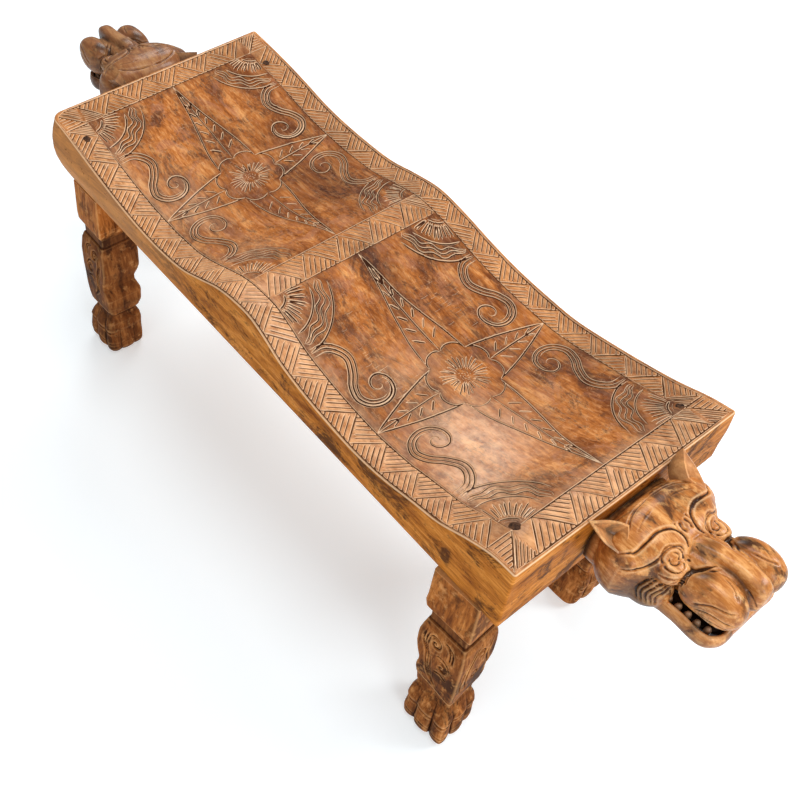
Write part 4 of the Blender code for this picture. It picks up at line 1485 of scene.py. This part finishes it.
def seat_finish():
    """Varnished orange-brown wood, stained dark round its ornaments, golden on the sides."""
    wood = Finish("seat_varnished_wood")
    ground, lines = wood_ground(wood, (8, 60, 60), SEAT_BROWNS)
    mottle = wood.noise((70, 90, 90), 5, 0.6)
    chatter = wood.noise((105, 13, 13), 4, 0.55, 0.3)
    ground = stain(wood, ground, chatter, 0.54, 0.64, 0.40, CHATTER_BROWN)
    patches = wood.mix(0.35, wood.noise((13, 21, 21), 8, 0.75, 1.0), lines)
    ground = stain(wood, ground, patches, 0.505, 0.585, 0.82, PATCH_STAIN)
    bloom = wood.noise((20, 28, 28), 5, 0.7, 0.8)
    ground = stain(wood, ground, bloom, 0.50, 0.62, 0.34, BLOOM)
    halo = wood.times(wood.stored("halo"), wood.spread(patches, 0.42, 0.54, 0.20, 0.95))
    ground = wood.mix(halo, ground, HALO_STAIN)
    tan = wood.ramp(mottle, *zip((0.35, 0.65), BORDER_TANS))
    ground = wood.mix(wood.times(wood.stored("border"), 0.55), ground, tan)
    pores = wood.noise((34, 300, 300), 3, 0.6, 0.4)
    ground = stain(wood, ground, pores, 0.53, 0.64, 0.38, PORE_BROWN)
    fibres = wood.noise((46, 240, 240), 2, 0.5, 0.5)
    ground = stain(wood, ground, fibres, 0.58, 0.68, 0.25, PALE_FIBRES)
    stained = wood.times(wood.stored("stained"), wood.spread(patches, 0.40, 0.58, 0.40, 1.0))
    far_end = wood.stored("far_end")
    ground = wood.mix(stained, ground, wood.mix(far_end, NEAR_STAIN, FAR_STAIN))
    # Worn pale places, partly a painted sheen where the varnish reflects a lamp; they also carry the gloss
    # below.
    worn_and_sheen = wood.times(wood.stored("worn_and_sheen"), wood.spread(mottle, 0.35, 0.65, 0.15, 0.75))
    ground = wood.mix(worn_and_sheen, ground, WORN_AND_SHEEN_PALE)
    top = wood.stored("top")
    ground = wood.mix(top, seat_side(wood, far_end), ground)
    # Pale line round the rounded rim: partly a worn edge, partly a painted highlight.
    ground = wood.mix(wood.times(wood.peak(top, 0.15, 0.5, 0.85), 0.85), ground, RIM_WEAR_AND_HIGHLIGHT)
    scratches = wood.peak(wood.noise((52, 60, 60), 2, 0.5, 1.6), 0.488, 0.5, 0.512)
    scratches = wood.times(scratches, wood.spread(patches, 0.40, 0.56, 0.0, 0.30))
    ground = wood.mix(wood.times(scratches, top), ground, SCRATCH)
    dark_share = wood.spread(wood.stored("border"), 0, 1, 0.94, 0.82)
    # Painted glint on the cut walls and painted shade in the cut bottoms, over some real stain.
    ground = shade_cuts(wood, ground, CUT_WALL_PALE_AND_GLINT, CUT_BOTTOM_STAIN_AND_SHADE, 0.78, dark_share)
    fine = wood.noise((120, 700, 700), 3, 0.6)
    wood.bump(wood.mix(0.5, wood.mix(0.6, fine, chatter), mottle), 0.4, 0.0008)
    gloss = wood.times(wood.spread(wood.stored("worn_and_sheen"), 0.08, 1.0, 0.0, 0.50), top)
    varnish(wood, ground, wood.spread(mottle, 0.3, 0.7, 0.36, 0.52), gloss, DRY_INDEX)
    return wood.material


# Colours of the legs
SHANK_BROWNS = ((0.070, 0.020, 0.006), (0.25, 0.079, 0.019), (0.50, 0.190, 0.051))
BLOCK_BROWNS = ((0.14, 0.038, 0.008), (0.38, 0.121, 0.025), (0.61, 0.24, 0.061))
SCORCH = (0.045, 0.015, 0.006)
LEG_PALE = (0.70, 0.33, 0.115)
# Painted shade, with some stain, for the ring, toes and cuff
LEG_SHADE_AND_STAIN = (0.045, 0.016, 0.007)
# Ridges: partly worn pale, partly a painted highlight. Hollows: partly stain, partly painted shade.
LEG_RIDGE_WEAR_AND_HIGHLIGHT = (0.74, 0.38, 0.15)
LEG_HOLLOW_STAIN_AND_SHADE = (0.022, 0.008, 0.004)
# Darker colour of the far legs, most of all on the shank
FAR_SHANK_DARK = (0.060, 0.022, 0.010)


def leg_finish():
    """Brown varnished wood with upright grain, scorched in patches and dark in its hollows."""
    wood = Finish("leg_scorched_wood")
    ground, lines = wood_ground(wood, (52, 52, 7), SHANK_BROWNS)
    golden, _ = wood_ground(wood, (46, 46, 6), BLOCK_BROWNS)
    upper = wood.stored("upper")
    ground = wood.mix(upper, ground, golden)
    patches = wood.mix(0.25, wood.noise((15, 15, 12), 6, 0.66, 1.1), lines)
    scorched = wood.spread(patches, 0.50, 0.57, 0.0, 0.92)
    scorched = wood.times(scorched, wood.spread(upper, 0, 1, 1.0, 0.75))
    ground = wood.mix(scorched, ground, SCORCH)
    mottle = wood.noise((90, 90, 70), 4, 0.6)
    ground = stain(wood, ground, mottle, 0.55, 0.70, 0.6, LEG_PALE)
    # Painted shade, with some stain, in the cut ring, the toe grooves and under the cuff.
    ground = wood.mix(wood.spread(wood.stored("recess"), 0.15, 1.0, 0.0, 0.70), ground, LEG_SHADE_AND_STAIN)
    # Painted shade in the hollows and a painted highlight on the ridges, over some stain and wear.
    ground = shade_hollows(wood, ground, LEG_RIDGE_WEAR_AND_HIGHLIGHT, LEG_HOLLOW_STAIN_AND_SHADE, 0.58, 0.92)
    # The far legs are darker, most of all on the shank.
    aged = wood.times(wood.stored("aged"), wood.spread(upper, 0, 1, 0.32, 0.04))
    ground = wood.mix(aged, ground, FAR_SHANK_DARK)
    fine = wood.noise((520, 520, 90), 3, 0.6)
    wood.bump(wood.mix(0.5, fine, patches), 0.4, 0.0010)
    varnish(wood, ground, wood.spread(mottle, 0.3, 0.7, 0.36, 0.55), 0.03, DRY_INDEX)
    return wood.material


# Colours of the heads
HEAD_BROWNS = ((0.26, 0.076, 0.016), (0.48, 0.174, 0.041), (0.76, 0.37, 0.125))
HEAD_STAIN = (0.070, 0.024, 0.010)
HEAD_PALE = (0.86, 0.46, 0.17)
# Ridges: partly worn pale, partly a painted highlight. Hollows: partly stain, partly painted shade.
HEAD_RIDGE_WEAR_AND_HIGHLIGHT = (0.94, 0.60, 0.31)
HEAD_HOLLOW_STAIN_AND_SHADE = (0.030, 0.011, 0.006)
# Darker colour of the far head
FAR_HEAD_DARK = (0.125, 0.058, 0.034)
TOOTH_WOOD = (0.34, 0.22, 0.14)
# Painted shade, with some stain, for the mouth, hollows, cheeks, jaw, flanks and ear creases
HEAD_SHADE_AND_STAIN = (0.012, 0.006, 0.004)


def head_finish():
    """Golden-brown varnished wood with the grain running forwards, dark in the mouth and the cuts."""
    wood = Finish("head_varnished_wood")
    ground, lines = wood_ground(wood, (12, 62, 46), HEAD_BROWNS)
    patches = wood.mix(0.22, wood.noise((19, 24, 24), 5, 0.62, 0.9), lines)
    ground = stain(wood, ground, patches, 0.515, 0.60, 0.90, HEAD_STAIN)
    mottle = wood.noise((80, 110, 110), 4, 0.6)
    ground = stain(wood, ground, mottle, 0.53, 0.68, 0.6, HEAD_PALE)
    # Painted shade in the hollows and a painted highlight on the ridges, over some stain and wear.
    ground = shade_hollows(wood, ground, HEAD_RIDGE_WEAR_AND_HIGHLIGHT, HEAD_HOLLOW_STAIN_AND_SHADE, 0.46, 0.92)
    # The far head is darker.
    ground = wood.mix(wood.times(wood.stored("aged"), 0.62), ground, FAR_HEAD_DARK)
    ground = wood.mix(wood.times(wood.stored("tooth"), 0.8), ground, TOOTH_WOOD)
    # Painted shade, with some stain: mouth, neck valley, lobes, bridge, seams, cheeks, jaw, lower flanks, ear
    # creases and the roots of the teeth.
    ground = wood.mix(wood.spread(wood.stored("recess"), 0.1, 1.0, 0.0, 0.97), ground, HEAD_SHADE_AND_STAIN)
    fine = wood.noise((90, 600, 600), 3, 0.6)
    wood.bump(wood.mix(0.5, fine, patches), 0.4, 0.0009)
    varnish(wood, ground, wood.spread(mottle, 0.3, 0.7, 0.30, 0.46), 0.36, SATIN_INDEX)
    return wood.material


# Fillings, hardware and the floor
FILLER_BROWNS = ((0.014, 0.009, 0.007), (0.11, 0.050, 0.026))
DOWEL_BROWNS = ((0.46, 0.29, 0.15), (0.56, 0.37, 0.20), (0.63, 0.44, 0.26))
ZINC_GREYS = ((0.48, 0.48, 0.50), (0.62, 0.62, 0.62))
FLOOR_COLOUR = (0.66, 0.73, 0.77, 1.0)
FLOOR_GLOW = 0.42
WHITE = (1.0, 1.0, 1.0, 1.0)


def plug_finish():
    """Dull dark filler."""
    filler = Finish("dark_wood_filler")
    grains = filler.noise((260, 260, 260), 4, 0.6)
    ground = filler.ramp(grains, *zip((0.35, 0.65), FILLER_BROWNS))
    filler.shade(Base_Color=ground, Roughness=0.7, IOR=1.15)
    filler.bump(grains, 0.4, 0.0005)
    return filler.material


def dowel_finish():
    """Bare pale hardwood."""
    wood = Finish("bare_dowel_wood")
    ground, _ = wood_ground(wood, (180, 180, 180), DOWEL_BROWNS)
    wood.shade(Base_Color=ground, Roughness=0.65)
    return wood.material


def screw_finish():
    """Bright zinc plating."""
    zinc = Finish("zinc_plating")
    bloom = zinc.noise((260, 260, 260), 4, 0.6)
    greys = zinc.ramp(bloom, *zip((0.3, 0.7), ZINC_GREYS))
    zinc.shade(Base_Color=greys, Metallic=1.0, Roughness=zinc.spread(bloom, 0.3, 0.7, 0.28, 0.42))
    return zinc.material


def floor_finish():
    """A pale matt floor that glows a little, so that it stays pale in the shade."""
    floor = Finish("pale_floor")
    floor.shade(
        Base_Color=FLOOR_COLOUR, Roughness=0.9, Specular_IOR_Level=0.0,
        Emission_Color=WHITE, Emission_Strength=FLOOR_GLOW,
    )
    return floor.material


# Studio

LAMPS = (  # name, place, aim, size in metres and power in watts
    ("top_window", (0.35, 0.25, 3.2), (0.05, 0, 0.38), 1.3, 36),
    ("right_window", (1.7, 1.9, 2.4), (0.1, 0, 0.38), 0.9, 47),
    ("back_window", (-1.52, 1.17, 1.95), (0.2, 0, 0.38), 1.25, 27),
    ("left_fill", (1.1, -2.6, 1.5), (0.1, 0, 0.3), 1.8, 12),
    ("front_fill", (2.5, -0.8, 1.0), (0.4, 0, 0.3), 1.2, 22),
)
FLOOR_SIZE = 16
WORLD_LIGHT = 0.30


def place_camera():
    data = bpy.data.cameras.new("camera")
    data.lens = CAMERA_LENS
    camera = add_object("camera", data)
    turn = Euler((math.radians(90 - CAMERA_TILT), 0, math.radians(CAMERA_AZIMUTH))).to_matrix()
    turn = turn @ Matrix.Rotation(math.radians(CAMERA_ROLL), 3, "Z")
    camera.matrix_world = Matrix.Translation(CAMERA_PLACE) @ turn.to_4x4()
    bpy.context.scene.camera = camera


def soft_light(name, place, aim, size, power):
    data = bpy.data.lights.new(name, "AREA")
    data.shape = "DISK"
    data.size = size
    data.energy = power
    light = add_object(name, data)
    light.location = place
    light.rotation_euler = (Vector(aim) - Vector(place)).to_track_quat("-Z", "Y").to_euler()


def build_studio():
    bpy.ops.object.select_all(action="DESELECT")
    bpy.ops.mesh.primitive_plane_add(size=FLOOR_SIZE, location=(0, 0, 0))
    floor = bpy.context.object
    floor.name = "floor"
    floor.data.materials.append(floor_finish())
    for lamp in LAMPS:
        soft_light(*lamp)
    world = bpy.data.worlds.new("studio")
    bpy.context.scene.world = world
    world.use_nodes = True
    sky = world.node_tree.nodes["Background"]
    sky.inputs["Color"].default_value = WHITE
    sky.inputs["Strength"].default_value = WORLD_LIGHT
    bpy.context.scene.view_settings.view_transform = "Standard"


place_camera()
build_studio()
make_seat_slab(seat_finish())
leg_wood = leg_finish()
for leg_corner in CORNERS:
    make_leg(leg_corner, leg_wood)
make_heads(head_finish())
make_plugs(plug_finish())

zinc, bare_wood = screw_finish(), dowel_finish()
for node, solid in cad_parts.items():
    if node.startswith(("lag_screw", "washer")):
        solid.material_slots[0].material = zinc
    elif "dowel" in node:
        solid.material_slots[0].material = bare_wood
